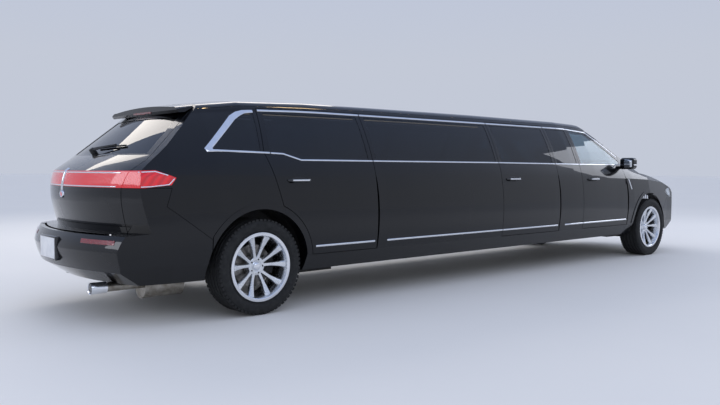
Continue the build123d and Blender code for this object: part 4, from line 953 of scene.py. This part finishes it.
class LIMO_OT_front(bpy.types.Operator):
    """Grille surrounds, lamp insides, fog lamps, fender ornaments, wipers and arch liners"""

    bl_idname = "limo.front"
    bl_label = "Front"

    def execute(self, context):
        for side, sign in SIDES.items():
            self.grille_surround(side, sign)
            self.headlamp(side, sign)
            self.fog_lamp(side, sign)
            ornament = skin_strip(side, [(2.622, 0.999), (2.646, 0.934), (2.671, 0.869)], 0.015, 0.006, step=0.02)
            place(f"fender_ornament_{side}", *ornament, "chrome")
            self.arch_liner(side, sign)
        lip = [on_skin("front", -0.455 + 0.910 * t, 0.445)[0] for t in shares(16)]
        bars = []
        for z, inset, depth, height in ((0.325, 0.028, 0.020, 0.008), (0.360, 0.028, 0.020, 0.008),
                                        (0.395, 0.028, 0.020, 0.008), (0.360, 0.062, 0.005, 0.124)):
            path = [point - Vector((inset, 0, 0.445 - z)) for point in lip]
            bars.append(sweep(path, depth, height, (0, 0, 1), 8, 6.0 if height > depth else 2.6))
        merged("lower_grille_bars", bars, "gloss_plastic")
        self.wipers()
        return {"FINISHED"}

    def grille_surround(self, side, sign):
        """Chrome bead round one grille opening."""
        outline = [(-0.240, 0.867), (-0.452, 0.820), (-0.430, 0.560), (-0.030, 0.500), (-0.030, 0.872),
                   (-0.250, 0.868)]
        outline = [(-sign * y, z) for y, z in outline]
        bead = skin_strip("front", outline, 0.016, 0.008, step=0.03)
        place(f"grille_surround_{side}", *bead, "chrome")

    def headlamp(self, side, sign):
        """Projectors, bezels and a light guide in a dark housing behind the lens."""
        columns, cells, thick = 12, 5, 0.003
        front = []
        for t in shares(columns):
            for s in shares(cells):
                point = on_skin("front", sign * (0.482 + 0.340 * t), 0.762 + 0.014 * t + (0.100 - 0.024 * t) * s)[0]
                front.append(point - Vector((0.066 + 0.020 * sin(pi * s), sign * 0.036, 0)))
        row, back = cells + 1, len(front)
        faces = []
        for first in range(0, columns * row, row):
            for a in range(first, first + cells):
                b = back + a
                faces += [[a, a + 1, a + row + 1, a + row], [b, b + row, b + row + 1, b + 1]]
            faces += [[a, a + row, back + a + row, back + a] for a in (first, first + cells)]
        for first in (0, columns * row):
            faces += [[a, back + a, back + a + 1, a + 1] for a in range(first, first + cells)]
        verts = front + [point - Vector((thick, 0, 0)) for point in front]
        place(f"headlamp_housing_{side}", verts, faces, "gloss_plastic")
        bezels, lenses = [], []
        for y, r in ((0.545, 0.036), (0.640, 0.033)):
            centre = on_skin("front", sign * y, 0.815)[0] - Vector((0.060, sign * 0.012, 0))
            bezels.append(lathe([(r - 0.008, 0.0), (r, 0.005), (r + 0.004, 0.0), (r + 0.003, -0.030),
                                 (r - 0.008, -0.030)], centre, (1, 0, 0), 40))
            lenses.append(lathe([(0.0, 0.008), (r * 0.4, 0.006), (r * 0.7, 0.001), (r - 0.008, -0.008),
                                 (r - 0.008, -0.014), (0.0, -0.014)], centre, (1, 0, 0), 36))
        merged(f"headlamp_bezels_{side}", bezels, "chrome")
        merged(f"headlamp_projectors_{side}", lenses, "tumbler")
        guide = [on_skin("front", sign * (0.490 + 0.290 * t), 0.768 + 0.010 * t)[0]
                 - Vector((0.056, sign * 0.030, 0)) for t in shares(12)]
        place(f"headlamp_light_guide_{side}", *sweep(guide, 0.008, 0.008, (0, 0, 1), 8, 2.0), "light_strip")

    def fog_lamp(self, side, sign):
        """Round fog lamp in a chrome ring low on the bumper."""
        point, normal = on_skin("front", sign * 0.640, 0.395)
        turned(f"fog_lamp_ring_{side}", [(0.034, 0.004), (0.036, 0.010), (0.043, 0.010), (0.049, 0.004),
                                         (0.050, -0.010), (0.034, -0.010)], point, normal, 48, "chrome")
        turned(f"fog_lamp_lens_{side}", [(0.0, 0.007), (0.020, 0.006), (0.0335, 0.003), (0.0335, -0.006),
                                         (0.0, -0.006)], point, normal, 48, "clear_lens")

    def arch_liner(self, side, sign):
        """Moulded liner over the front wheel, ribbed along its length."""
        steps, thick = 60, 0.0035
        rings = []
        for i in range(steps + 1):
            angle = radians(-4) + radians(188) * i / steps
            r = 0.449 + (0.004 if i % 6 in (0, 1) else 0.0)
            rings.append([Vector((FRONT_AXLE + s * cos(angle), sign * y, WHEEL_Z + s * sin(angle)))
                          for s, y in ((r, 0.800), (r, 0.912), (r + thick, 0.912), (r + thick, 0.800))])
        place(f"arch_liner_{side}", *tube(rings), "plastic")

    def wipers(self):
        """Pair of wipers parked at the foot of the windscreen."""
        shapes = []
        for y_pivot, y_tip in ((0.560, 0.020), (-0.030, -0.560)):
            arm, blade = [], []
            for t in shares(12):
                y = y_pivot + (y_tip - y_pivot) * t
                blade.append(over_skin("front", y, 1.232 - 0.020 * t, 0.011, ("windscreen",)))
                arm.append(over_skin("front", y, 1.195 + 0.018 * t, 0.016 + 0.012 * sin(pi * t), ("windscreen",)))
            shapes.append(sweep(blade, 0.010, 0.014, (1, 0, 1), 8))
            shapes.append(sweep(arm[:9], [0.020 - 0.0012 * k for k in range(9)], 0.009, (1, 0, 1), 8))
            shapes.append(lathe([(0.0, 0.014), (0.012, 0.012), (0.018, 0.0), (0.018, -0.012), (0.0, -0.012)],
                                arm[0], (0.5, 0, 0.86), 24))
        merged("windscreen_wipers", shapes, "plastic")


class LIMO_OT_mirrors(bpy.types.Operator):
    """Silvered glass in the door mirrors"""

    bl_idname = "limo.mirrors"
    bl_label = "Mirrors"

    def execute(self, context):
        for side, sign in SIDES.items():
            door = f"front_door_{side}"
            rail_a = [(sign * (0.978 + 0.094 * t), 1.240 - 0.012 * t ** 2) for t in shares(6)]
            rail_b = [(sign * (0.978 + 0.094 * t), 1.136 + 0.016 * t ** 2) for t in shares(6)]
            glass = skin_shape("rear", rail_a, rail_b, 0.0025, names=(door,), cross=flat_cross(4, 0.03))
            place(f"mirror_glass_{side}", *glass, "mirror", door)
        return {"FINISHED"}


class LIMO_OT_door_cards(bpy.types.Operator):
    """Inner trim of the doors: padded panel, wood strip, armrest, speaker and release"""

    bl_idname = "limo.door_cards"
    bl_label = "Door cards"

    def execute(self, context):
        for door, (x0, x1) in (("rear_door", (-2.480, -1.790)), ("fifth_door", (0.150, 0.975)),
                               ("front_door", (1.650, 2.460))):
            for side, sign in SIDES.items():
                body = f"{door}_{side}"
                if body in frame["bodies"]:
                    self.card(body, side, sign, x0, x1)
        return {"FINISHED"}

    def card(self, body, side, sign, x0, x1):
        """One door's card."""
        view, only = f"in_{side}", (body,)
        lower = patch(view, (x0, 0.500), (x1, 0.700), 0.006, 0.06, only, flat_cross(6, 0.03))
        upper = patch(view, (x0, 0.800), (x1, 1.060), 0.010, 0.06, only, flat_cross(6, 0.04))
        merged(f"door_card_{body}", [lower, upper], "leather", body)
        place(f"door_wood_{body}", *patch(view, (x0, 1.070), (x1, 1.100), 0.008, 0.06, only), "wood", body)
        path, widths = [], []
        for t in shares(16):
            point, normal = on_skin(view, x0 + 0.06 + (x1 - x0 - 0.12) * t, 0.750, only)
            full = min(1.0, 4 * t, 4 * (1 - t)) ** 0.5 if 0 < t < 1 else 0.15
            path.append(point - Vector((0, sign * (0.004 + 0.018 * full), 0)))
            widths.append(0.012 + 0.044 * full)
        arm = place(f"door_armrest_{body}", *sweep(path, 0.062, widths, (0, sign, 0), 16, 3.0), "leather", body)
        point, normal = on_skin(view, (x0 + x1) / 2 + 0.22, 0.980, only)
        base = point + normal * 0.008
        handle = [base + Vector((-0.055 + 0.11 * t, 0, 0)) + normal * (0.016 * sin(pi * t)) for t in shares(8)]
        place(f"door_release_{body}", *sweep(handle, 0.016, 0.007, (0, sign, 0), 8), "chrome", body)
        point, normal = on_skin(view, x1 - 0.16, 0.600, only)
        turned(f"speaker_ring_{body}", [(0.070, 0.004), (0.072, 0.010), (0.080, 0.010), (0.084, 0.002),
                                        (0.070, 0.002)], point, normal, 48, "chrome", body)
        turned(f"speaker_mesh_{body}", [(0.0, 0.006), (0.030, 0.0085), (0.071, 0.0075), (0.071, 0.001),
                                        (0.0, 0.001)], point, normal, 40, "grille_cloth", body)


class LIMO_OT_cabin(bpy.types.Operator):
    """Headliner, carpets, dashboard, partition and bar"""

    bl_idname = "limo.cabin"
    bl_label = "Cabin"

    def execute(self, context):
        xs = [-2.95 + 4.80 * t for t in shares(24)]
        lining = skin_shape("ceiling", [(x, -0.50) for x in xs], [(x, 0.50) for x in xs], 0.005, 0.4, ("roof",),
                            cross=flat_cross(14, 0.02))
        place("headliner", *lining, "headliner")
        lights = [skin_strip("ceiling", [(-2.70, y), (1.30, y)], 0.014, 0.009, step=0.2, names=("roof",))
                  for y in (-0.44, 0.44)]
        merged("ceiling_light_strips", lights, "light_strip")
        carpets = [rounded_block((-2.200, -0.765, 0.380), (2.500, 0.765, 0.393), 0.003, 2),
                   rounded_block((-3.660, -0.600, 0.380), (-2.950, 0.600, 0.393), 0.003, 2)]
        merged("floor_carpets", carpets, "carpet")
        self.dashboard()
        self.wheel()
        self.partition()
        self.bar()
        return {"FINISHED"}

    def dashboard(self):
        """Padded top, binnacle, dials, centre screen, vents and glove box on the dashboard."""
        only = ("dashboard",)
        ys = [-0.780 + 1.560 * t for t in shares(24)]
        top = skin_shape("deck", [(2.302, y) for y in ys], [(2.590, y) for y in ys], 0.016, 0.5, only,
                         cross=flat_cross(6, 0.09))
        place("dash_top_pad", *top, "soft_dash")
        strip = skin_shape("ahead", [(y, 0.935) for y in ys], [(y, 0.895) for y in ys], 0.007, 0.5, only)
        place("dash_wood_strip", *strip, "wood")
        block("binnacle", (2.236, 0.205, 0.960), (2.330, 0.595, 1.112), 0.026, 4, "soft_dash")
        block("instrument_screen", (2.2335, 0.240, 0.985), (2.2365, 0.560, 1.088), 0.001, 1, "screen")
        dials = [lathe([(r - 0.004, 0.0045), (r, 0.005), (r, 0.001), (r - 0.004, 0.001)], (2.2345, y, 1.037),
                       (-1, 0, 0), 48) for y, r in ((0.325, 0.042), (0.475, 0.042), (0.400, 0.022))]
        merged("dial_rings", dials, "chrome")
        block("centre_stack", (2.262, -0.150, 0.752), (2.310, 0.150, 1.062), 0.016, 3, "gloss_plastic")
        block("centre_screen", (2.259, -0.112, 0.935), (2.2635, 0.112, 1.045), 0.0015, 1, "screen")
        knobs = [lathe([(0.0, 0.022), (0.015, 0.021), (0.018, 0.016), (0.020, 0.0), (0.0, 0.0)], (2.263, y, 0.800),
                       (-1, 0, 0), 32) for y in (-0.105, 0.105)]
        merged("centre_knobs", knobs, "chrome")
        key = rounded_block((-0.0030, -0.010, -0.006), (0.0030, 0.010, 0.006), 0.0012, 2)
        for row, z in enumerate((0.905, 0.880, 0.855)):
            grown(f"centre_keys_{row}", "row", seed_mesh(key), {"Count": 7, "Offset": (0, 0.030, 0)}, "plastic",
                  "body", Matrix.Translation((2.261, -0.090, z)))
        slat = rounded_block((-0.010, -0.052, -0.0012), (0.010, 0.052, 0.0012), 0.0008, 1)
        for vent, y in enumerate((-0.700, -0.225, 0.700)):
            block(f"vent_frame_{vent}", (2.284, y - 0.066, 0.962), (2.304, y + 0.066, 1.046), 0.008, 3,
                  "gloss_plastic")
            grown(f"vent_slats_{vent}", "row", seed_mesh(slat), {"Count": 6, "Offset": (0, 0, 0.0125)}, "plastic",
                  "body", Matrix.Translation((2.282, y, 0.973)) @ Matrix.Rotation(radians(25), 4, "Y"))
        lid = patch("ahead", (-0.700, 0.760), (-0.230, 0.880), 0.006, 0.06, only, flat_cross(5, 0.03))
        place("glove_box_lid", *lid, "soft_dash")

    def wheel(self):
        """Pad and chrome ring of the steering wheel, and stalks on the column."""
        hub = Vector((2.1305, 0.400, 0.990))
        out = Vector((-cos(radians(25)), 0, sin(radians(25))))
        turned("wheel_pad", [(0.0, 0.042), (0.030, 0.041), (0.052, 0.035), (0.062, 0.022), (0.062, 0.004),
                             (0.0, 0.004)], hub, out, 48, "leather", "steering_wheel")
        turned("wheel_pad_ring", [(0.030, 0.0425), (0.032, 0.0440), (0.034, 0.0425), (0.034, 0.0380),
                                  (0.030, 0.0380)], hub, out, 48, "chrome", "steering_wheel")
        stalks = []
        for sign in (-1, 1):
            start = hub - out * 0.060 + Vector((0, sign * 0.020, 0))
            path = [start + Vector((0.010, sign * 0.150, 0.016)) * t for t in shares(6)]
            widths = [0.014, 0.010, 0.009, 0.009, 0.011, 0.015, 0.014]
            stalks.append(sweep(path, widths, 0.010, (0, 0, 1), 10, 2.0))
        merged("column_stalks", stalks, "plastic")

    def partition(self):
        """Frame and sliding glass of the window behind the driver."""
        half, low, high, bar = 0.500, 1.060, 1.500, 0.022
        bars = []
        for x in (1.416, 1.450):
            for y0, z0, y1, z1 in ((-half, low, half, low + bar), (-half, high - bar, half, high),
                                   (-half, low, bar - half, high), (half - bar, low, half, high)):
                bars.append(rounded_block((x, y0, z0), (x + 0.010, y1, z1), 0.003, 2))
        merged("partition_frame", bars, "chrome")
        block("partition_glass", (1.435, -0.480, 1.080), (1.440, 0.480, 1.480), 0.001, 1, "clear_glass")

    def bar(self):
        """Stone top, door fronts, handles, tumblers, decanter and ice bucket of the bar."""
        block("bar_top", (-1.560, -0.770, 0.958), (-0.030, -0.438, 0.986), 0.005, 3, "stone")
        fronts, pulls = [], []
        for k in range(3):
            x = -1.535 + 0.500 * k
            fronts.append(rounded_block((x, -0.452, 0.430), (x + 0.480, -0.436, 0.930), 0.006, 3))
            path = [(x + 0.440, -0.436 + 0.020 * sin(pi * t), 0.640 + 0.144 * t) for t in shares(8)]
            pulls.append(sweep(path, 0.008, 0.006, (0, 1, 0), 8, 2.0))
        merged("bar_fronts", fronts, "wood")
        merged("bar_pulls", pulls, "chrome")
        block("bar_light_strip", (-1.540, -0.450, 0.944), (-0.050, -0.441, 0.957), 0.002, 1, "light_strip")
        up, counter = (0, 0, 1), 0.9865
        cup = lathe([(0.0, 0.006), (0.026, 0.006), (0.031, 0.085), (0.033, 0.086), (0.0345, 0.084), (0.0295, 0.0),
                     (0.0, 0.0)], (0, 0, 0), up, 28)
        for row, y in enumerate((-0.700, -0.610)):
            grown(f"bar_tumblers_{row}", "row", seed_mesh(cup), {"Count": 5, "Offset": (0.095, 0, 0)}, "tumbler",
                  "body", Matrix.Translation((-1.440 + 0.047 * row, y, counter)))
        turned("bar_decanter", [(0.0, 0.0), (0.048, 0.0), (0.055, 0.010), (0.056, 0.090), (0.040, 0.125),
                                (0.017, 0.150), (0.015, 0.185), (0.022, 0.200), (0.020, 0.232), (0.0, 0.240)],
               (-0.820, -0.650, counter), up, 36, "tumbler")
        turned("ice_bucket", [(0.0, 0.004), (0.070, 0.004), (0.088, 0.150), (0.092, 0.152), (0.094, 0.146),
                              (0.076, 0.0), (0.0, 0.0)], (-0.560, -0.620, counter), up, 44, "stainless")


# Padded pieces

SWELL_FRAMES = 20
SWELL_CAP = 0.010  # no point of a cover moves further than this
SWELL_CELL = 0.009
RESTING = 0.012  # the lowest part of a pad, this high, stays in place
CHANNEL_DEPTH, CHANNEL_WIDTH = 0.009, 0.011


def pad_mesh(name, low, high, corner, crown, pull):
    """Closed pad between two corners, crowned on top, its sides drawn in between the corners."""
    bm = bmesh.new()
    bmesh.ops.create_cube(bm, size=2.0)
    bmesh.ops.subdivide_edges(bm, edges=list(bm.edges), cuts=21, use_grid_fill=True)
    half = (Vector(high) - Vector(low)) / 2
    centre = (Vector(high) + Vector(low)) / 2
    for v in bm.verts:
        full = Vector([a * b for a, b in zip(v.co, half)])
        inner = Vector([max(-(h - corner), min(h - corner, c)) for c, h in zip(full, half)])
        at = inner + (full - inner).normalized() * corner
        a, b = at.x / half.x, at.y / half.y
        level = (at.z / half.z + 1) / 2
        at.z += crown * (1 - a * a) * (1 - b * b) * level
        at.x -= pull * a * (1 - b * b)
        at.y -= pull * b * (1 - a * a)
        v.co = at + centre
    bmesh.ops.recalc_face_normals(bm, faces=bm.faces)
    mesh = bpy.data.meshes.new(name)
    bm.to_mesh(mesh)
    bm.free()
    return mesh


def swell(meshes):
    """Swell the pads together under cloth pressure, as foam fills a cover; no point moves past the cap."""
    scene = bpy.context.scene
    makers = []
    for mesh in meshes:
        maker = bpy.data.objects.new(mesh.name + "_maker", mesh)
        scene.collection.objects.link(maker)
        remesh = maker.modifiers.new("even", "REMESH")
        remesh.mode = "VOXEL"
        remesh.voxel_size = SWELL_CELL
        bpy.context.view_layer.update()
        even = bpy.data.meshes.new_from_object(maker.evaluated_get(bpy.context.evaluated_depsgraph_get()))
        maker.modifiers.remove(remesh)
        even.name = mesh.name
        maker.data = even
        foot = min(v.co.z for v in even.vertices)
        resting = maker.vertex_groups.new(name="rest")
        resting.add([v.index for v in even.vertices if v.co.z < foot + RESTING], 1.0, "REPLACE")
        cloth = maker.modifiers.new("swell", "CLOTH")
        cloth.settings.quality = 5
        cloth.settings.mass = 0.25
        cloth.settings.use_pressure = True
        cloth.settings.uniform_pressure_force = 4.0
        cloth.settings.effector_weights.gravity = 0.0
        cloth.settings.vertex_group_mass = "rest"
        cloth.collision_settings.use_collision = False
        cloth.point_cache.frame_start = 1
        cloth.point_cache.frame_end = SWELL_FRAMES
        makers.append(maker)
    for number in range(1, SWELL_FRAMES + 1):
        scene.frame_set(number)
    graph = bpy.context.evaluated_depsgraph_get()
    out = []
    for maker in makers:
        swollen = bpy.data.meshes.new_from_object(maker.evaluated_get(graph))
        for v, start in zip(swollen.vertices, maker.data.vertices):
            move = v.co - start.co
            if move.length > SWELL_CAP:
                v.co = start.co + move.normalized() * SWELL_CAP
        swollen.name = maker.data.name
        maker.modifiers.clear()
        bpy.data.objects.remove(maker)
        out.append(swollen)
    scene.frame_set(1)
    return out


def sew(mesh, across, along):
    """Sewn channels pressed into the top of a pad, at set places across it and along it."""
    mesh.update()
    normals = [v.normal.copy() for v in mesh.vertices]
    for v, normal in zip(mesh.vertices, normals):
        if normal.z < 0.15:
            continue
        near = min([abs(v.co.x - x) for x in along] + [abs(v.co.y - y) for y in across] + [1.0])
        v.co.z -= CHANNEL_DEPTH * exp(-(near / CHANNEL_WIDTH) ** 2) * min(1.0, normal.z * 1.5)
    mesh.update()


def welt(name, mesh, level, matrix, radius=0.0045, count=96):
    """Piping sewn round a pad at a level, lying on its cover."""
    tree = BVHTree.FromPolygons([v.co.copy() for v in mesh.vertices], [list(p.vertices) for p in mesh.polygons])
    xs = [v.co.x for v in mesh.vertices]
    ys = [v.co.y for v in mesh.vertices]
    centre = Vector(((min(xs) + max(xs)) / 2, (min(ys) + max(ys)) / 2, level))
    reach = Vector(((max(xs) - min(xs)) / 2, (max(ys) - min(ys)) / 2))
    points = []
    for k in range(count):
        c, s = oblong(2 * pi * (k + 0.5) / count, 0.35)
        start, aim = [centre + Vector((c * reach.x * far, s * reach.y * far, 0)) for far in (1.3, 0.5)]
        hit = tree.ray_cast(start, (aim - start).normalized())
        if hit[0] is not None:
            points.append(hit[0])
    grown(name, "path", closed_curve(points), {"Radius": radius}, "leather", "body", matrix)


class LIMO_OT_seats(bpy.types.Operator):
    """Leather seats, bench and lounge with swollen pads, sewn channels and piping"""

    bl_idname = "limo.seats"
    bl_label = "Seats"

    # Name: (low corner, high corner, corner radius, crown, pull, channels across, channels along, piping level)
    PADS = {
        "front_seat_pad": ((1.706, -0.644, 0.560), (2.216, -0.156, 0.672), 0.040, 0.006, 0.010, (-0.520, -0.280),
                           (1.86, 2.05), 0.645),
        "front_seat_back": ((0.000, -0.240, 0.000), (0.600, 0.240, 0.118), 0.044, 0.008, 0.010, (-0.130, 0.130),
                            (0.20, 0.42), 0.080),
        "front_seat_head": ((0.000, -0.124, 0.000), (0.170, 0.124, 0.082), 0.034, 0.004, 0.006, (), (), 0.050),
        "bench_pad": ((-2.740, -0.632, 0.600), (-2.212, 0.632, 0.756), 0.046, 0.008, 0.010, (-0.215, 0.215), (-2.40,),
                      0.720),
        "bench_back": ((0.000, -0.630, 0.000), (0.455, 0.630, 0.110), 0.044, 0.008, 0.010,
                       (-0.42, -0.215, 0.0, 0.215, 0.42), (), 0.075),
        "lounge_pad": ((-1.573, 0.276, 0.600), (-0.863, 0.762, 0.738), 0.044, 0.008, 0.010, (0.40,), (-1.218,), 0.702),
        "lounge_back": ((0.000, -0.354, 0.000), (0.390, 0.354, 0.094), 0.040, 0.008, 0.010, (-0.118, 0.118), (), 0.062),
    }

    def execute(self, context):
        meshes = [pad_mesh(name, *row[:5]) for name, row in self.PADS.items()]
        meshes = swell(meshes)
        made = dict(zip(self.PADS, meshes))
        for name, mesh in made.items():
            sew(mesh, *self.PADS[name][5:7])
        self.front_seats(made)
        self.bench(made)
        self.lounge(made)
        return {"FINISHED"}

    def pad(self, name, kind, made, matrix):
        """Pad object from a copy of a finished mesh, with its piping."""
        welt(f"{name}_piping", made[kind], self.PADS[kind][-1], matrix)
        copy = made[kind].copy()
        copy.transform(matrix)
        obj = settle(name, copy, "leather")
        return obj

    def front_seats(self, made):
        """Two front seats on plinths."""
        upright = Matrix(((0, 0, 1, 0), (0, 1, 0, 0), (1, 0, 0, 0), (0, 0, 0, 1)))
        lean = Matrix.Translation((1.7025, 0, 0.640)) @ Matrix.Rotation(radians(-14), 4, "Y")
        for side, centre in (("right", -0.400), ("left", 0.400)):
            seat = self.pad(f"front_seat_pad_{side}", "front_seat_pad", made,
                            Matrix.Translation((0, centre + 0.400, 0)))
            if side == "right":
                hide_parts("front_seats")
            at = Matrix.Translation((0, centre, 0)) @ lean
            for part, foot in (("back", (-0.050, 0, -0.010)), ("head", (-0.040, 0, 0.600))):
                self.pad(f"front_seat_{part}_{side}", f"front_seat_{part}", made,
                         at @ Matrix.Translation(foot) @ upright)
            shell = rounded_block((-0.058, -0.225, -0.020), (-0.030, 0.225, 0.560), 0.012, 3)
            place(f"front_seat_shell_{side}", *moved(shell, at), "plastic")
            for number, y in enumerate((-0.060, 0.060)):
                post = lathe([(0.0, 0.0), (0.007, 0.0), (0.007, 0.100), (0.0, 0.100)], (0.000, y, 0.540), (0, 0, 1),
                             16)
                place(f"front_seat_post_{side}_{number}", *moved(post, at), "chrome")
            plinth = [rounded_block((1.770, centre - 0.195, 0.393), (2.150, centre + 0.195, 0.575), 0.014, 3)]
            plinth += [rounded_block((1.730, centre + y - 0.022, 0.390), (2.190, centre + y + 0.022, 0.412), 0.004,
                                     2) for y in (-0.170, 0.170)]
            merged(f"front_seat_plinth_{side}", plinth, "plastic")

    def bench(self, made):
        """Bench across the rear of the cabin."""
        seat = self.pad("rear_bench_pad", "bench_pad", made, Matrix.Identity(4))
        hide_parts("rear_bench")
        upright = Matrix(((0, 0, 1, -2.880), (0, 1, 0, 0), (1, 0, 0, 0.768), (0, 0, 0, 1)))
        self.pad("rear_bench_back", "bench_back", made, upright)
        base = rounded_block((-2.900, -0.620, 0.388), (-2.235, 0.620, 0.604), 0.012, 3)
        shell = rounded_block((-2.908, -0.630, 0.600), (-2.876, 0.630, 1.215), 0.012, 3)
        merged("rear_bench_base", [base, shell], "leather")

    def lounge(self, made):
        """Lounge along the left side, in four places."""
        upright = Matrix(((0, 1, 0, -1.218), (0, 0, -1, 0.758), (1, 0, 0, 0.752), (0, 0, 0, 1)))
        for k in range(4):
            move = Matrix.Translation((0.717 * k, 0, 0))
            seat = self.pad(f"lounge_pad_{k}", "lounge_pad", made, move)
            if k == 0:
                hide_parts("side_lounge")
            self.pad(f"lounge_back_{k}", "lounge_back", made, move @ upright)
        block("lounge_base", (-1.570, 0.292, 0.388), (1.285, 0.760, 0.604), 0.012, 3, "leather")
        block("lounge_light_strip", (-1.540, 0.282, 0.420), (1.255, 0.293, 0.432), 0.002, 1, "light_strip")


class LIMO_OT_stage(bpy.types.Operator):
    """Pale floor, soft lamps, sky colour and the camera at the photograph's place"""

    bl_idname = "limo.stage"
    bl_label = "Stage"

    def execute(self, context):
        scene = context.scene
        scene.view_settings.view_transform = "Standard"
        material, tree = blank("pale_floor")
        noise = add(tree, "ShaderNodeTexNoise", {"Vector": add(tree, "ShaderNodeTexCoord").outputs["Object"],
                                                 "Scale": 0.6, "Detail": 4.0})
        colour = tones(tree, noise.outputs["Fac"], "#e4e6e9", "#eaebed")
        shader = add(tree, "ShaderNodeBsdfPrincipled", {"Base Color": colour, "Roughness": 0.75,
                                                        "Specular IOR Level": 0.25})
        add(tree, "ShaderNodeOutputMaterial", {"Surface": shader.outputs["BSDF"]})
        mesh = bpy.data.meshes.new("floor")
        half = 90.0
        corners = [(-half, -half, 0), (half, -half, 0), (half, half, 0), (-half, half, 0)]
        mesh.from_pydata(corners, [], [(0, 1, 2, 3)])
        floor = bpy.data.objects.new("floor", mesh)
        mesh.materials.append(material)
        scene.collection.objects.link(floor)
        self.sky(scene)
        level = settings().light_level
        self.lamp("sun_side_softbox", (1.0, 7.5, 7.0), (0.0, 0.0, 0.6), 9.0, 3.0, 270 * level, "#fff6ea")
        self.lamp("camera_side_fill", (-4.0, -9.0, 5.5), (0.0, 0.0, 0.8), 7.0, 2.4, 60 * level, "#eaf1ff")
        self.lamp("tail_softbox", (-10.5, 1.5, 3.6), (-3.8, 0.0, 0.8), 3.0, 2.2, 80 * level, "#f3f6ff")
        self.lamp("nose_softbox", (10.0, -3.0, 4.0), (3.8, 0.0, 0.7), 4.0, 2.4, 70 * level, "#f3f6ff")
        self.camera(scene)
        return {"FINISHED"}

    def sky(self, scene):
        """Sky that pales towards the horizon."""
        world = bpy.data.worlds.new("sky")
        scene.world = world
        world.use_nodes = True
        tree = world.node_tree
        tree.nodes.clear()
        coords = add(tree, "ShaderNodeTexCoord").outputs["Generated"]
        height = add(tree, "ShaderNodeSeparateXYZ", {"Vector": coords}).outputs["Z"]
        backgrounds = []
        for low, high, strength in (("#eceef2", "#d3daec", 0.95), ("#c3c9d7", "#a9badf", 1.0)):
            ramp = add(tree, "ShaderNodeValToRGB", {"Fac": height})
            stops = ramp.color_ramp.elements
            stops[0].position, stops[0].color = 0.14, linear(low)
            stops[1].position, stops[1].color = 0.70, linear(high)
            backgrounds.append(add(tree, "ShaderNodeBackground", {"Color": ramp.outputs["Color"],
                                                                  "Strength": strength}))
        rays = add(tree, "ShaderNodeLightPath")
        seen = add(tree, "ShaderNodeMath", {0: rays.outputs["Is Camera Ray"], 1: rays.outputs["Is Glossy Ray"]},
                   operation="MAXIMUM")
        seen = add(tree, "ShaderNodeMath", {0: seen.outputs[0], 1: rays.outputs["Is Transmission Ray"]},
                   operation="MAXIMUM")
        light, seen_sky = [background.outputs["Background"] for background in backgrounds]
        mixed = add(tree, "ShaderNodeMixShader", {"Fac": seen.outputs[0], 1: light, 2: seen_sky})
        add(tree, "ShaderNodeOutputWorld", {"Surface": mixed.outputs["Shader"]})

    def lamp(self, name, place_at, target, width, height, power, colour):
        """Rectangular softbox aimed at a point."""
        light = bpy.data.lights.new(name, "AREA")
        light.shape = "RECTANGLE"
        light.size, light.size_y = width, height
        light.energy = power
        light.color = linear(colour)[:3]
        obj = bpy.data.objects.new(name, light)
        obj.location = place_at
        obj.rotation_euler = (Vector(target) - Vector(place_at)).to_track_quat("-Z", "Y").to_euler()
        bpy.context.scene.collection.objects.link(obj)

    def camera(self, scene):
        """Camera solved from the photograph: a step away behind the right rear corner."""
        width_px, focal_px, sensor_mm = 720.0, 729.9, 36.0
        yaw, pitch, roll = radians(41.19), radians(-2.83), radians(0.25)
        data = bpy.data.cameras.new("photo_camera")
        data.sensor_width = sensor_mm
        data.lens = sensor_mm * focal_px / width_px
        data.clip_end = 400.0
        obj = bpy.data.objects.new("photo_camera", data)
        ahead = Vector((sin(yaw) * cos(pitch), cos(yaw) * cos(pitch), sin(pitch)))
        right = Vector((cos(yaw), -sin(yaw), 0.0))
        up = right.cross(ahead)
        turned_right = right * cos(roll) + up * sin(roll)
        turned_up = up * cos(roll) - right * sin(roll)
        rotation = Matrix((turned_right, turned_up, -ahead)).transposed()
        obj.matrix_world = Matrix.Translation((-5.9805, -5.616, 1.141)) @ rotation.to_4x4()
        scene.collection.objects.link(obj)
        scene.camera = obj


OPERATORS = (LIMO_OT_finishes, LIMO_OT_window_trim, LIMO_OT_lower_trim, LIMO_OT_door_handles, LIMO_OT_tail,
             LIMO_OT_wheels, LIMO_OT_front, LIMO_OT_mirrors, LIMO_OT_door_cards, LIMO_OT_cabin, LIMO_OT_seats,
             LIMO_OT_stage)


class LIMO_PT_panel(bpy.types.Panel):
    """Settings and steps of the limousine's dressing"""

    bl_idname = "LIMO_PT_panel"
    bl_label = "Limousine"
    bl_space_type = "VIEW_3D"
    bl_region_type = "UI"
    bl_category = "Limousine"

    def draw(self, context):
        for name in LimousineSettings.__annotations__:
            self.layout.prop(settings(), name)
        for operator in OPERATORS:
            self.layout.operator(operator.bl_idname)


def register():
    """Register the classes and the settings."""
    for item in (LimousineSettings, *OPERATORS, LIMO_PT_panel):
        bpy.utils.register_class(item)
    bpy.types.Scene.limousine_settings = bpy.props.PointerProperty(type=LimousineSettings)


def unregister():
    """Take the settings and the classes out again."""
    del bpy.types.Scene.limousine_settings
    for item in reversed((LimousineSettings, *OPERATORS, LIMO_PT_panel)):
        bpy.utils.unregister_class(item)


def main():
    """Run every step in order."""
    register()
    for operator in OPERATORS:
        group, step = operator.bl_idname.split(".")
        getattr(getattr(bpy.ops, group), step)()


if __name__ == "__main__":
    main()
